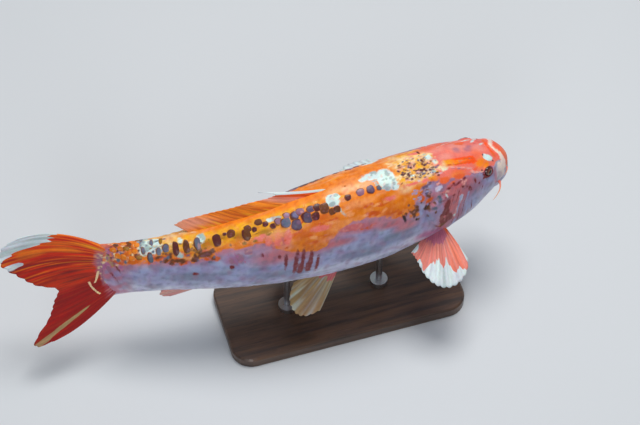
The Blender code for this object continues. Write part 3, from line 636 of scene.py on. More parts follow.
# Soft clouds of colour over a layer: layer, colour, both sides, strength, and for each its share, its turn in
# degrees and its half length and half width in mm.
CLOUDS = (
    ("coat", "vivid", 1, 0.7, ((0.01, 0, 14, 26),)),
    ("coat", "orange", 0, 0.7, ((0.088, 28, 9, 7), (0.16, 34, 9, 5))),
    ("coat", "blush", 0, 0.45, ((0.12, -12, 12, 7), (0.075, -2, 7, 5), (0.175, -14, 10, 6),
     (0.165, 1, 9, 3))),
    ("coat", "dusk", 0, 0.62, ((0.128, -5, 4.2, 3), (0.099, -3, 5, 2.4), (0.092, -8, 3.4, 1.8))),
    ("coat", "coral", 0, 0.6, ((0.19, -22, 14, 6), (0.085, 8, 6, 5), (0.15, 27, 10, 4))),
    ("patch", "yellow", 0, 0.75, ((0.172, 11, 9, 7),)),
    ("patch", "cream", 0, 0.8, ((0.186, 10, 5, 6),)),
    ("patch", "peach", 1, 0.6, ((0.6, 40, 12, 5),)),
    ("under", "pearl", 1, 0.8, ((0.1, 120, 30, 20), (0.3, 105, 30, 12), (0.46, 110, 40, 12))),
    ("under", "blaze", 1, 0.8, ((0.04, 70, 7, 12), (0.012, 70, 5, 12))),
    ("under", "flush", 1, 0.6, ((0.06, 70, 2.4, 12),)),
    ("under", "dusk", 1, 0.9, ((0.17, 60, 28, 16), (0.19, 90, 22, 16), (0.13, 60, 14, 8), (0.2, 36, 14, 8))),
    ("under", "flush", 1, 0.8, ((0.155, 50, 16, 6), (0.185, 62, 20, 15), (0.207, 78, 14, 15),
     (0.24, 56, 9, 12), (0.61, 70, 26, 9), (0.31, 74, 14, 6), (0.345, 66, 14, 4), (0.4, 60, 20, 5),
     (0.47, 70, 20, 4), (0.222, 106, 8, 7))),
    ("under", "lavender", 1, 0.7, ((0.232, 74, 8, 7), (0.145, 88, 10, 9), (0.226, 60, 5, 5))),
    ("under", "mauve", 1, 0.75, ((0.247, 108, 10, 8), (0.7, 66, 12, 5), (0.27, 100, 10, 6))),
    ("under", "slate", 1, 0.5, ((0.33, 84, 20, 6), (0.42, 92, 26, 7), (0.62, 100, 30, 7), (0.8, 95, 30, 6))),
    ("coat", "cream", 0, 0.45, ((0.395, 8, 16, 5), (0.44, 4, 12, 4))),
    ("coat", "cream", 0, 0.7, ((0.215, -6, 9, 8), (0.245, -10, 12, 7), (0.29, 30, 7, 5), (0.835, 4, 10, 9))),
    ("coat", "yellow", 0, 0.8, ((0.25, 8, 18, 12), (0.53, 11, 28, 3), (0.8, 12, 16, 7), (0.66, 20, 40, 9))),
    ("coat", "peach", 1, 0.8, ((0.37, -10, 40, 16), (0.4, 30, 16, 5), (0.44, 52, 20, 6), (0.6, 38, 9, 8))),
    ("coat", "burnt", 1, 0.6, ((0.49, 34, 14, 4), (0.54, 48, 14, 5), (0.64, 44, 12, 5), (0.34, 50, 9, 5))),
    ("coat", "olive", 1, 0.75, ((0.62, 32, 9, 4), (0.68, 30, 7, 5), (0.72, 26, 6, 4), (0.755, 33, 7, 5),
     (0.84, 36, 9, 5))),
    ("coat", "amber", 1, 0.6, ((0.31, 46, 12, 7), (0.42, 40, 20, 4), (0.69, 40, 20, 5),
     (0.925, 34, 10, 14))),
    ("coat", "blush", 1, 0.5, ((0.36, 58, 12, 3), (0.47, 62, 16, 3), (0.585, 56, 7, 6), (0.975, 18, 6, 8))),
    ("coat", "burnt", 1, 0.7, ((0.93, 40, 12, 12), (0.955, 10, 8, 9), (0.985, 36, 6, 16))),
    ("coat", "flush", 1, 0.7, ((0.995, 28, 7, 14), (0.985, 60, 7, 10))),
)

# Scattered small marks: layer, colour, both sides, how many, the ends of their shares and of their turns in
# degrees, and the longest half length and half width in mm.
SPRINKLES = (
    ("patch", "cream", 0, 46, (0.190, 0.305), (-14, 25), (4.4, 2.3)),
    ("patch", "pearl", 0, 14, (0.192, 0.262), (8, 27), (3.4, 1.6)),
    ("patch", "yellow", 0, 30, (0.185, 0.300), (-14, 25), (3.6, 2.0)),
    ("spot", "maroon", 0, 40, (0.198, 0.290), (-3, 21), (2.5, 1.5)),
    ("patch", "blush", 0, 16, (0.200, 0.290), (-12, 25), (3.6, 1.8)),
    ("spot", "plum", 0, 26, (0.188, 0.270), (-10, 24), (2.2, 1.1)),
    ("spot", "cream", 0, 30, (0.186, 0.290), (-10, 24), (1.5, 1.0)),
    ("fleck", "ink", 0, 26, (0.200, 0.285), (-2, 20), (1.1, 0.7)),
    ("patch", "blush", 1, 12, (0.150, 0.215), (36, 54), (3.2, 1.6)),
    ("spot", "oxblood", 1, 14, (0.145, 0.225), (38, 62), (2.0, 0.9)),
    ("spot", "lavender", 1, 16, (0.215, 0.280), (30, 68), (2.8, 1.6)),
    ("spot", "umber", 1, 14, (0.235, 0.310), (40, 76), (2.4, 1.8)),
    ("spot", "mist", 0, 20, (0.300, 0.352), (-4, 27), (3.0, 1.8)),
    ("spot", "lavender", 0, 5, (0.445, 0.468), (8, 26), (2.4, 1.6)),
    ("spot", "mist", 0, 10, (0.868, 0.908), (4, 34), (3.0, 1.8)),
    ("patch", "peach", 1, 18, (0.300, 0.600), (12, 58), (8.0, 2.4)),
    ("patch", "yellow", 1, 22, (0.400, 0.880), (14, 40), (6.0, 1.6)),
    ("patch", "burnt", 1, 20, (0.310, 0.600), (32, 64), (6.0, 1.6)),
    ("spot", "olive", 1, 22, (0.600, 0.900), (24, 46), (3.2, 1.8)),
    ("patch", "burnt", 1, 14, (0.740, 0.910), (46, 68), (5.4, 3.0)),
    ("spot", "umber", 1, 20, (0.740, 0.910), (44, 66), (4.0, 2.2)),
    ("spot", "slate", 1, 10, (0.740, 0.910), (50, 68), (3.0, 2.0)),
    ("spot", "slate", 0, 9, (0.850, 0.912), (-6, 40), (2.6, 1.8)),
    ("spot", "cream", 0, 12, (0.770, 0.900), (-12, 30), (2.8, 1.4)),
    ("patch", "amber", 1, 12, (0.920, 0.985), (0, 60), (3.4, 2.4)),
    ("spot", "umber", 1, 26, (0.915, 0.975), (0, 50), (2.4, 1.7)),
    # Painted highlights: small upright cream spots near the end of the stem stand for glints.
    ("spot", "cream", 1, 20, (0.910, 0.985), (2, 60), (1.4, 2.4)),
    ("spot", "slate", 0, 8, (0.868, 0.912), (4, 40), (1.1, 4.0)),
    ("patch", "mauve", 1, 14, (0.962, 1.012), (26, 84), (5.0, 3.4)),
    ("patch", "dusk", 1, 8, (0.962, 1.012), (26, 84), (4.0, 3.0)),
    ("spot", "cream", 1, 7, (0.968, 1.008), (34, 78), (3.4, 0.9)),
    ("spot", "maroon", 1, 8, (0.945, 0.990), (20, 64), (2.6, 1.2)),
)


def sprinkled():
    """The scattered marks, as MARKS gives them."""
    draw = np.random.default_rng(57)
    for layer, colour, both, count, shares, turns, (long, wide) in SPRINKLES:
        sites = zip(draw.uniform(*shares, count), draw.uniform(*turns, count))
        marks = [
            (share, turn, long * draw.uniform(0.4, 1), wide * draw.uniform(0.5, 1), draw.uniform(-25, 25))
            for share, turn in sites
        ]
        yield layer, colour, both, marks


# Small swells of colour within a layer: layer, colour, their size in metres and their seed.
VARIED = (
    ("coat", "peach", 0.008, 61), ("coat", "amber", 0.011, 62), ("coat", "burnt", 0.006, 63),
    ("patch", "blush", 0.006, 64), ("spot", "dusk", 0.006, 66), ("under", "dusk", 0.012, 67),
    ("under", "slate", 0.009, 68),
)

# The orange coat's lower border: station, turn in degrees.
COAT_BORDER = (
    (0.00, 60), (0.03, 46), (0.08, 49), (0.12, 43), (0.16, 38), (0.20, 33), (0.23, 33), (0.26, 44),
    (0.30, 59), (0.34, 58), (0.38, 52), (0.42, 49), (0.46, 58), (0.50, 68), (0.54, 72), (0.58, 67),
    (0.62, 51), (0.66, 48), (0.72, 50), (0.78, 60), (0.84, 62), (0.90, 62), (0.95, 70), (1.04, 84),
)


def band(value, low, high, soft):
    """1 between two values, with soft ends."""
    return smooth((value - low) / soft + 0.5) * smooth((high - value) / soft + 0.5)


MARK_POWER = 2.4  # of a mark's super-elliptic outline


def mark_reach(along, turn, both, share, degrees, half_length, half_width, lean=0):
    """How far out of a mark's middle sites lie, as a share of the way to its border."""
    x = (along - share * BODY) * 1000
    swing = ((np.abs(turn) if both else turn) - math.radians(degrees) + math.pi) % math.tau - math.pi
    y = swing * girth(along) * 1000
    lean = math.radians(lean)
    x, y = x * math.cos(lean) + y * math.sin(lean), y * math.cos(lean) - x * math.sin(lean)
    return (np.abs(x / half_length) ** MARK_POWER + np.abs(y / half_width) ** MARK_POWER) ** (1 / MARK_POWER)


def lay_clouds(paint, along, turn, layers):
    for layer, colour, both, strength, clouds in CLOUDS:
        if layer in layers:
            for cloud in clouds:
                reach = mark_reach(along, turn, both, *cloud)
                paint.soften(layer, colour, strength * smooth(1.3 - 0.8 * reach))


# Blotches under the orange: colour, strength, a share that draws them out along the fish the smaller it is,
# their size in metres, their seed, and the turns in degrees that they lie between.
BLOTCHES = (
    ("mauve", 0.20, 1, 0.026, 11, 55, 110), ("slate", 0.40, 0.35, 0.014, 12, 60, 140),
    ("pearl", 0.22, 0.35, 0.010, 13, 60, 150),
)


def paint_undercoat(paint, share, degrees, border, places):
    """A pearl belly, lavender sides, and a flush just below the orange and on the stem."""
    paint.soften("under", "pearl", smooth((degrees - 90) / 50))
    below = (degrees - border) / 16
    paint.soften("under", "flush", 0.7 * (1 - smooth(below)) * ramp(share, 0.24, 0.05))
    for colour, strength, squeeze, size, seed, low, high in BLOTCHES:
        blotched = smooth(0.2 + ripples(places * [squeeze, 1, 1], size, seed))
        paint.soften("under", colour, strength * blotched * band(degrees, low, high, 30))
    blotched = smooth(0.5 + ripples(places, 0.012, 14))
    paint.soften("under", "flush", 0.75 * blotched * ramp(share, 0.93, 0.06))
    paint.soften("under", "mauve", 0.3 * ramp(share, 0.92, 0.06))


def paint_coat(paint, share, degrees, places):
    """Salmon on the head, partly a painted sheen over orange-red, yellow and cream on the nape and before the
    tail, orange and amber between them.
    """
    paint.coat("amber", ramp(degrees, 22, 16))
    blotched = smooth(0.5 + 1.2 * ripples(places, 0.016, 6))
    paint.coat("yellow", 0.85 * band(degrees, 8, 40, 10) * band(share, 0.56, 0.88, 0.08))
    paint.coat("yellow", 0.9 * band(share, 0.198, 0.30, 0.03) * band(degrees, -30, 26, 12))
    paint.coat("cream", 0.6 * blotched * band(share, 0.20, 0.30, 0.04) * band(degrees, -9, 30, 8))
    paint.coat("yellow", 0.8 * ramp(share, 0.76, 0.04) * (1 - ramp(share, 0.90, 0.03)))
    paint.coat("cream", 0.6 * blotched * band(share, 0.77, 0.90, 0.04))
    paint.coat("amber", band(degrees, 44, 200, 12) * ramp(share, 0.78, 0.05))
    paint.coat("umber", 0.45 * blotched * ramp(share, 0.91, 0.03))
    # Painted sheen, in part: the head's coat is salmon pink, a pale sheen over its orange-red.
    paint.coat("salmon", 1 - ramp(share, 0.195, 0.03))
    streaked = ripples(places * [0.30, 1, 1], 0.0075, 8)
    trunk = ramp(share, 0.27, 0.04)
    paint.coat("burnt", 0.50 * smooth(streaked - 0.1) * trunk * band(degrees, 14, 80, 16))
    paint.coat("peach", 0.60 * smooth(-streaked - 0.1) * trunk * band(degrees, -10, 70, 20))


def paint_body(along, turn):
    """The markings at sites on the body."""
    share, degrees = along / BODY, np.degrees(np.abs(turn))
    places = skin(along, turn)
    paint = Paint(len(along), "lavender")
    border = through(share, *np.array(COAT_BORDER).T)
    paint_undercoat(paint, share, degrees, border, places)
    wobble = 0.0030 * ripples(places, 0.018, 9) + 0.0014 * ripples(places, 0.006, 10)
    paint.cover("orange", np.radians(border - degrees) * girth(along) + wobble)
    paint_coat(paint, share, degrees, places)
    lay_clouds(paint, along, turn, ("under", "coat"))
    for layer, colour, both, marks in (*sprinkled(), *MARKS):
        for mark in marks:
            inside = (1 - mark_reach(along, turn, both, *mark)) * min(mark[2], mark[3]) / 1000
            paint.lay(layer, colour, inside)
    lay_clouds(paint, along, turn, ("patch", "spot"))
    for layer, colour, size, seed in VARIED:
        hold = ramp(share, 0.19, 0.04) if layer in ("coat", "patch") else 1
        paint.soften(layer, colour, 0.40 * smooth(ripples(places, size, seed)) * hold)
    return paint


# ---- the large scales ----

# Right of the back: share, turn in degrees, half length and half width in mm, tone.
SCALE_ROW = (
    (0.347, 19, 3.0, 3.6, "slate"), (0.366, 18, 5.0, 6.0, "plum"), (0.390, 17, 5.2, 5.2, "dusk"),
    (0.421, 19, 4.2, 4.4, "maroon"), (0.452, 29, 4.2, 4.4, "umber"), (0.464, 30, 4.4, 4.6, "umber"),
    (0.478, 23, 6.2, 7.4, "umber"), (0.494, 19, 5.2, 5.2, "maroon"), (0.503, 29, 5.4, 5.6, "maroon"),
    (0.510, 18, 5.0, 5.0, "plum"), (0.522, 27, 7.0, 7.8, "plum"), (0.534, 17, 5.2, 5.2, "dusk"),
    (0.549, 20, 5.8, 5.8, "plum"), (0.549, 33, 6.8, 7.2, "plum"), (0.571, 26, 6.8, 6.8, "slate"),
    (0.566, 16, 4.4, 4.4, "dusk"), (0.588, 21, 4.6, 5.0, "dusk"), (0.602, 26, 3.6, 3.8, "maroon"),
    (0.617, 20, 3.6, 3.8, "maroon"), (0.631, 14, 5.0, 4.6, "umber"), (0.644, 24, 3.2, 3.6, "maroon"),
    (0.658, 20, 4.6, 4.8, "umber"), (0.663, 29, 5.8, 8.0, "umber"), (0.697, 22, 5.4, 5.6, "umber"),
    (0.712, 21, 2.4, 2.6, "maroon"), (0.731, 29, 5.4, 8.6, "maroon"), (0.777, 30, 4.4, 8.8, "slate"),
    (0.803, 33, 4.4, 9.0, "umber"), (0.828, 34, 4.2, 9.2, "maroon"), (0.851, 30, 4.2, 6.0, "slate"),
    (0.869, 37, 3.2, 5.0, "slate"), (0.862, 8, 2.4, 5.6, "olive"), (0.884, 9, 2.3, 5.6, "slate"),
    (0.909, -10, 2.4, 5.0, "slate"), (0.890, 50, 3.6, 6.2, "slate"), (0.905, 32, 2.4, 5.4, "slate"),
)


def scale_sites(draw):
    """Every large scale: share, turn in radians, half length and half width in metres, and its tone."""
    sites = [(s, math.radians(t), a / 1000, b / 1000, tone) for s, t, a, b, tone in SCALE_ROW]
    for s, t, a, b, tone in SCALE_ROW:
        if t > 12:
            size = draw.uniform(0.80, 1.10) / 1000
            shift = draw.uniform(-0.006, 0.006)
            sites.append((s + shift, -math.radians(t * 0.4 + 27), a * size, b * size, tone))
    for side in (1, -1):
        for row, degrees in enumerate((8, 29, 50)):
            for step in range(4):
                share = 0.918 + 0.0165 * step + 0.008 * (row % 2) + draw.uniform(-0.003, 0.003)
                tone = ("umber", "amber", "burnt", "amber", "olive", "orange")[draw.integers(6)]
                swing = side * math.radians(degrees + draw.uniform(-5, 5))
                long, wide = draw.uniform(0.0026, 0.0042, 2)
                sites.append((share, swing, long, wide, tone))
    return sites


# ---- the fins ----

EDGE_START = 0.6  # share of a ray's length from which the fin's edge frays into teeth
EDGE_GAP, EDGE_TOOTH = 0.030, 0.026  # how far the edge falls back between the rays, and how much less on one


class Fin:
    """A fan of rays. Its root is a line of places, and its rays turn from the front one to the back one.

    root: a function of the shares from the front ray to the back one, giving places on the fish
    front, back: the directions of the first and the last ray as (along, left, up)
    length: of the longest ray
    reach: (share, share of length) at a few rays
    rays: how many rays show
    thick: thickness at the root
    patch: where its two sides lie on the unwrap: left, bottom, width and height of one side
    rows: faces along a ray
    curl: how far every ray's tip bends over, as (along, left, up) shares of its length
    gather: how far the outer rays' tips bend towards the middle ray, as a share of their length
    ripple, waves: height of the waves across the rays, at their tips, and how many there are
    """

    def __init__(
        self, root, front, back, length, reach, rays, thick, patch, rows,
        curl=(0, 0, 0), gather=0.0, ripple=0.001, waves=2.5,
    ):
        self.root = root
        self.front, self.back = unit(front), unit(back)
        self.length = length
        self.reach = np.array(reach).T
        self.rays, self.thick, self.patch, self.rows = rays, thick, patch, rows
        self.curl = np.array(curl)
        self.gather = unit(self.back - self.front) * gather
        self.ripple, self.waves = ripple, waves
        self.normal = unit(np.cross(self.front, self.back))

    def ray_length(self, across):
        return self.length * through(across, *self.reach)

    def places(self, across, out):
        """Places at shares across the rays and shares out along them."""
        wide = math.acos(self.front @ self.back)
        ray = np.sin((1 - across) * wide)[:, None] * self.front + np.sin(across * wide)[:, None] * self.back
        ray /= math.sin(wide)
        length = self.ray_length(across)
        tooth = np.abs(np.cos(math.pi * self.rays * across))
        length = length * (1 - (EDGE_GAP - EDGE_TOOTH * tooth) * ramp(out, EDGE_START, 1 - EDGE_START))
        wave = np.sin(math.tau * self.waves * across) * self.ripple * out**2
        bend = (self.curl + self.gather * (1 - 2 * across)[:, None]) * (length * out**2)[:, None]
        return self.root(across) + ray * (length * out)[:, None] + bend + self.normal * wave[:, None]


ROOT_SINK, PAIRED_SINK = 0.008, 0.007  # how deep fins are rooted in the back and belly, and in the flanks


def ridge_line(start, end, side):
    """Root of a fin along the back, where side is 1, or along the belly, where it is -1."""

    def root(share):
        along = (start + (end - start) * share) * BODY
        height = outline(along)[0 if side > 0 else 1] - ROOT_SINK
        return np.stack([along, np.zeros_like(along), side * height], -1)

    return root


STEM_ARC = (0.985 * BODY, 0.025 * BODY, 0.058 * BODY)  # start, bulge and half height of the tail fin's root


def stem_line(share):
    """Root of the tail fin, an arc across the end of the stem."""
    start, bulge, half = STEM_ARC
    up = half * np.cos(math.pi * share)
    return np.stack([start + bulge * np.sin(math.pi * share), np.zeros_like(share), up], -1)


def flank_line(start, end, side):
    """Root of a paired fin between two (station, turn) sites on the skin. Side is 1 on the right."""

    def root(share):
        along = (start[0] + (end[0] - start[0]) * share) * BODY
        turn = np.radians(side * (start[1] + (end[1] - start[1]) * share))
        on_skin = skin(along, turn)
        inside = np.stack([along, np.zeros_like(along), outline(along)[3]], -1)
        return on_skin + unit(inside - on_skin) * PAIRED_SINK

    return root


PECTORAL = {"rays": 15, "thick": 0.0060, "rows": 26, "ripple": 0.0012}
PECTORAL_ROOT = ((0.213, 120.5), (0.238, 131.5))
PELVIC = {
    "length": 0.072, "reach": ((0, 0.84), (0.25, 1.00), (0.6, 0.90), (1, 0.55)), "rays": 10, "thick": 0.0050,
    "rows": 22, "curl": (0.06, 0.0, 0.04),
}
PELVIC_ROOT = ((0.462, 152), (0.500, 164))

FINS = {
    "dorsal_fin": Fin(
        ridge_line(0.400, 0.775, 1), front=(0.95, 0.07, 0.20), back=(0.80, 0.20, 0.55), length=0.098,
        reach=((0, 1.07), (0.05, 0.88), (0.12, 0.68), (0.25, 0.51), (0.45, 0.47), (0.60, 0.42), (0.75, 0.39),
               (0.90, 0.37), (1, 0.30)),
        rays=20, thick=0.0045, patch=(0.01, 0.62, 0.36, 0.17), rows=18, curl=(0.05, 0.08, -0.06),
        ripple=0.0012,
    ),
    "anal_fin": Fin(
        ridge_line(0.735, 0.800, -1), front=(0.96, -0.08, -0.17), back=(0.99, -0.04, -0.05), length=0.064,
        reach=((0, 0.95), (0.2, 1.00), (0.6, 0.80), (1, 0.55)),
        rays=7, thick=0.0040, patch=(0.885, 0.01, 0.10, 0.085), rows=22, curl=(0.10, 0.0, 0.04),
    ),
    "caudal_fin": Fin(
        stem_line, front=(0.75, -0.03, 0.66), back=(0.73, -0.07, -0.68), length=0.132,
        reach=((0, 0.96), (0.08, 1.01), (0.22, 0.96), (0.36, 0.74), (0.46, 0.60), (0.54, 0.45), (0.66, 0.53),
               (0.80, 0.72), (0.93, 1.09), (1, 0.96)),
        rays=20, thick=0.0060, patch=(0.39, 0.62, 0.19, 0.36), rows=40, gather=0.31, ripple=0.003, waves=1.5,
    ),
    "pectoral_fin_right": Fin(
        flank_line(*PECTORAL_ROOT, 1), front=(-0.20, -0.88, -0.43), back=(0.87, -0.48, -0.09), length=0.076,
        reach=((0, 0.70), (0.12, 0.87), (0.25, 0.97), (0.38, 0.98), (0.5, 0.91), (0.62, 0.78), (0.75, 0.63),
               (0.88, 0.54), (1, 0.49)),
        patch=(0.79, 0.62, 0.095, 0.175), curl=(0.03, 0.0, -0.06), **PECTORAL,
    ),
    "pectoral_fin_left": Fin(
        flank_line(*PECTORAL_ROOT, -1), front=(0.40, 0.90, -0.18), back=(0.96, 0.19, -0.19), length=0.104,
        reach=((0, 0.74), (0.15, 0.90), (0.35, 1.00), (0.6, 0.97), (0.8, 0.84), (1, 0.62)),
        patch=(0.79, 0.81, 0.095, 0.175), curl=(0.05, 0.0, 0.02), **PECTORAL,
    ),
    "pelvic_fin_right": Fin(
        flank_line(*PELVIC_ROOT, 1), front=(0.56, -0.55, -0.60), back=(0.95, -0.15, -0.30),
        patch=(0.885, 0.20, 0.10, 0.085), **PELVIC,
    ),
    "pelvic_fin_left": Fin(
        flank_line(*PELVIC_ROOT, -1), front=(0.66, 0.48, -0.56), back=(0.97, 0.12, -0.28),
        patch=(0.885, 0.39, 0.10, 0.085), **PELVIC,
    ),
}
COLUMNS_PER_RAY = 6
RAY_GAP, STREAK_SIZE = 0.004, 0.006  # from ray to ray, and of the swells, in the space of the streaks


class FinPaint(Paint):
    """A fin's paint, which knows how far across the rays and out along them its points lie."""

    def __init__(self, fin, across, out, under):
        super().__init__(len(across), under)
        self.fin, self.across, self.out = fin, across, out

    def streaks(self, seed, width=1.0, run=0.10):
        """Random swells drawn out along the rays, from -1 to 1. The smaller the run, the longer they are."""
        x = self.across * self.fin.rays * RAY_GAP / width
        y = self.out * self.fin.length * run
        return ripples(np.stack([x, y, np.full_like(x, seed * 0.37)], -1), STREAK_SIZE, seed)


def paint_dorsal(fin, across, out):
    """Orange over a yellow root, streaked, with a white first ray."""
    paint = FinPaint(fin, across, out, "yellow")
    streaks = paint.streaks
    paint.cover("orange", (out - 0.16) * fin.ray_length(across) + 0.005 * streaks(21))
    paint.soften("under", "vivid", 1 - ramp(across, 0.3, 0.15))
    paint.coat("vivid", 0.8 * band(across, -1, 0.25, 0.08))
    paint.coat("blush", 0.6 * band(across, 0.20, 0.33, 0.06) * ramp(out, 0.2, 0.3))
    paint.coat("burnt", 0.5 * smooth(streaks(18)) * band(across, 0.3, 0.9, 0.1))
    paint.coat("blush", 0.6 * ramp(across, 0.70, 0.2) * ramp(out, 0.3, 0.4))
    yellowed = smooth(streaks(17, 0.5, 0.05) + 0.2)
    paint.coat("yellow", 0.7 * yellowed * (1 - ramp(out, 0.4, 0.3)) * ramp(across, 0.3, 0.1))
    for seed in (19, 22, 16):
        dark = smooth(streaks(seed, 0.35, 0.06) * 2.4 - 0.5)
        hold = ramp(out, 0.15, 0.2) * (1 - 0.6 * ramp(across, 0.78, 0.1))
        paint.coat("brick", 0.36 * dark * hold)
    spine = (0.045 + 0.10 * out - across) * 0.17 - 0.004 * smooth((0.30 - out) / 0.2)
    paint.lay("spot", "fin_white", spine + 0.0008 * streaks(20))
    return paint


# Where the white tips of the tail fin's upper lobe start: share across the rays, share out along them.
TAIL_TIPS = (
    (0, 0.60), (0.04, 0.60), (0.07, 0.52), (0.12, 0.57), (0.15, 0.66), (0.165, 0.84), (0.20, 0.94),
    (0.25, 1.1), (0.30, 1.4),
)
# Pale arcs across the root of its lower lobe: from and to across, slope and start out along the rays.
TAIL_ARCS = ((0.46, 0.62, 1.0, 0.06), (0.58, 0.80, -0.8, 0.34))


def paint_caudal(fin, across, out):
    """Red above and crimson below, streaked, with white upper tips, a pale stripe and a mottled root."""
    paint = FinPaint(fin, across, out, "tail_red")
    length, streaks = fin.ray_length(across), paint.streaks
    paint.cover("tail_red", 0.01)
    streaked = streaks(24)
    paint.coat("orange", 0.65 * band(across, -1, 0.26, 0.12) * smooth(0.35 + streaked))
    paint.coat("brick", 0.85 * band(across, 0.24, 0.60, 0.12) * smooth(0.6 - out + streaked * 0.8))
    paint.coat("tail_crimson", 0.75 * band(across, 0.26, 0.48, 0.08) * ramp(out, 0.2, 0.3))
    paint.coat("brick", 0.6 * band(across, 0.42, 0.62, 0.08) * ramp(out, 0.35, 0.3))
    lower = ramp(across, 0.54, 0.08)
    paint.coat("tail_crimson", lower)
    paint.coat("yellow", 0.6 * bell(across - 0.09, 0.03) * bell(out - 0.12, 0.10))
    for seed in (34, 35, 36):
        dark = smooth(streaks(seed, 0.26, 0.04) * 2.2 - 0.4)
        paint.coat("maroon", (0.36 - 0.20 * lower) * dark * ramp(across, 0.03, 0.06))
    for colour, seed in (("vivid", 37), ("orange", 15)):
        bright = smooth(streaks(seed, 0.26, 0.04) * 2.2 - 0.5)
        paint.coat(colour, 0.55 * bright * (1 - 0.9 * ramp(across, 0.34, 0.14)))
    near = 1 - smooth((out - 0.02 - 0.03 * streaks(23, 1.2)) / 0.10)
    paint.coat("flush", 0.8 * near * band(across, 0.10, 0.70, 0.15))
    paint.coat("blush", 0.4 * near * smooth(streaks(11, 0.8)))
    paint.coat("mauve", 0.22 * near * band(across, 0.25, 0.95, 0.2))
    mottled = band(across, 0.16, 0.66, 0.10) * (1 - ramp(out, 0.04, 0.06))
    paint.coat("dusk", 0.8 * mottled)
    paint.coat("cream", 0.8 * mottled * smooth(2 * streaks(9, 0.5, 0.7) - 0.3))
    tip = np.interp(across, *np.array(TAIL_TIPS).T)
    tongues = 0.008 * streaks(25, 0.45, 0.05) + 0.003 * streaks(14)
    paint.lay("spot", "fin_white", (out - tip) * length + tongues)
    pale = 0.0023 - np.abs(across - 0.265 - 0.06 * (out - 0.8)) * 0.16 - 0.02 * smooth((0.82 - out) / 0.1)
    paint.lay("spot", "fin_white", pale + 0.002 * streaks(26, 0.6))
    paint.soften("spot", "mist", 0.8 * smooth(streaks(33, 0.6, 0.06)))
    stripe = (0.006 + 0.016 * out - np.abs(across - 0.845 - 0.085 * out**2)) * 0.15
    stripe -= 0.004 * smooth((0.36 - out) / 0.2)
    paint.lay("spot", "sand", stripe + 0.0006 * streaks(13, 0.5))
    for low, high, slope, start in TAIL_ARCS:
        arc = 0.0013 - np.abs((out - start - slope * (across - low)) * length)
        paint.lay("spot", "cream", np.where((across > low) & (across < high), arc, -0.01))
    return paint


# Where the white of the right breast fin starts: share across the rays, share out along them.
BREAST_TIPS = (
    (0, 1.2), (0.08, 1.1), (0.12, 0.90), (0.17, 0.80), (0.22, 0.86), (0.27, 0.78), (0.32, 0.56), (0.36, 0.62),
    (0.39, 0.72), (0.42, 0.66), (0.46, 0.58), (0.52, 0.63), (0.58, 0.72), (0.66, 0.97), (0.71, 0.90),
    (0.76, 0.86), (0.83, 1.1), (1, 1.2),
)


def paint_pectoral_right(fin, across, out):
    """Salmon and coral rays over a mauve root, with ragged white tips and a white first ray."""
    tone = palette()
    paint = FinPaint(fin, across, out, (tone["mauve"] + tone["flush"]) / 2)
    length, streaks = fin.ray_length(across), paint.streaks
    past_root = out - 0.24 - 0.20 * across
    paint.cover("salmon", past_root * length + 0.003 * streaks(28, 0.9))
    paint.coat("flush", 1 - smooth(past_root / 0.16))
    streaked = streaks(27)
    paint.coat("coral", 0.6 * smooth((0.7 - across) / 0.3) * smooth(0.6 + streaked))
    paint.coat("vivid", 0.55 * smooth((0.35 - across) / 0.3) * smooth(0.5 + streaked))
    paint.coat("blush", 0.30 + 0.4 * smooth(streaks(12, 0.5, 0.05)))
    paint.soften("under", "coral", smooth((0.16 - across) / 0.1))
    dark = smooth(streaks(32, 0.4, 0.05) * 2.2 - 0.6)
    paint.coat("brick", 0.32 * dark * ramp(out, 0.3, 0.15))
    tips = np.interp(across, *np.array(BREAST_TIPS).T)
    paint.lay("spot", "fin_white", (out - tips) * length + 0.004 * streaks(29, 0.45, 0.06))
    paint.lay("spot", "fin_white", (0.035 - across) * 0.09 + (np.minimum(out, 0.9) - 0.9) * 0.012)
    paint.lay("spot", "fin_white", 0.006 - np.hypot((across - 1.0) * 0.07, (out - 0.82) * length))
    paint.soften("spot", "mist", 0.7 * smooth(streaks(38, 0.6, 0.06)))
    return paint


def pale_fin(main, root, depth):
    """A painter of pale fins: their colour, their root's colour and how far out that reaches."""

    def paint_pale(fin, across, out):
        paint = FinPaint(fin, across, out, root)
        paint.cover(main, (out - depth) * fin.ray_length(across) + 0.006 * paint.streaks(30))
        paint.coat("frost", 0.4 * smooth(paint.streaks(31)))
        paint.coat("mist", 0.4 * smooth(paint.streaks(39, 0.5, 0.06)))
        return paint

    return paint_pale


PAINTED_FINS = {
    "dorsal_fin": paint_dorsal,
    "caudal_fin": paint_caudal,
    "pectoral_fin_right": paint_pectoral_right,
    "pectoral_fin_left": pale_fin("fin_white", "salmon", 0.20),
    "pelvic_fin_right": pale_fin("sand", "flush", 0.30),
    "pelvic_fin_left": pale_fin("sand", "flush", 0.30),
    "anal_fin": pale_fin("blush", "mauve", 0.45),
}

# ---- mesh helpers ----

UNWRAP = "OFBake"
UNWRAP_BODY = (0.01, 0.01, 0.865, 0.59)  # left, bottom, width and height of the body on the unwrap


def clear_selection():
    bpy.ops.object.select_all(action="DESELECT")


def named(name):
    """The object that an operator has just added, with that name."""
    made = bpy.context.object
    made.name = made.data.name = name
    return made


def points_of(mesh):
    found = np.empty(len(mesh.vertices) * 3)
    mesh.vertices.foreach_get("co", found)
    return found.reshape(-1, 3)


def add_ball(name, segments, rings):
    """A ball of radius 1 with its vertices, and their angles down from its top and round its axis."""
    clear_selection()
    bpy.ops.mesh.primitive_uv_sphere_add(segments=segments, ring_count=rings, radius=1)
    ball = named(name)
    found = points_of(ball.data)
    down = np.arccos(np.clip(found[:, 2], -1, 1))
    return ball, found, down, np.arctan2(found[:, 1], found[:, 0])


def move_points(mesh, positions):
    mesh.vertices.foreach_set("co", np.asarray(positions, np.float32).ravel())
    mesh.update()


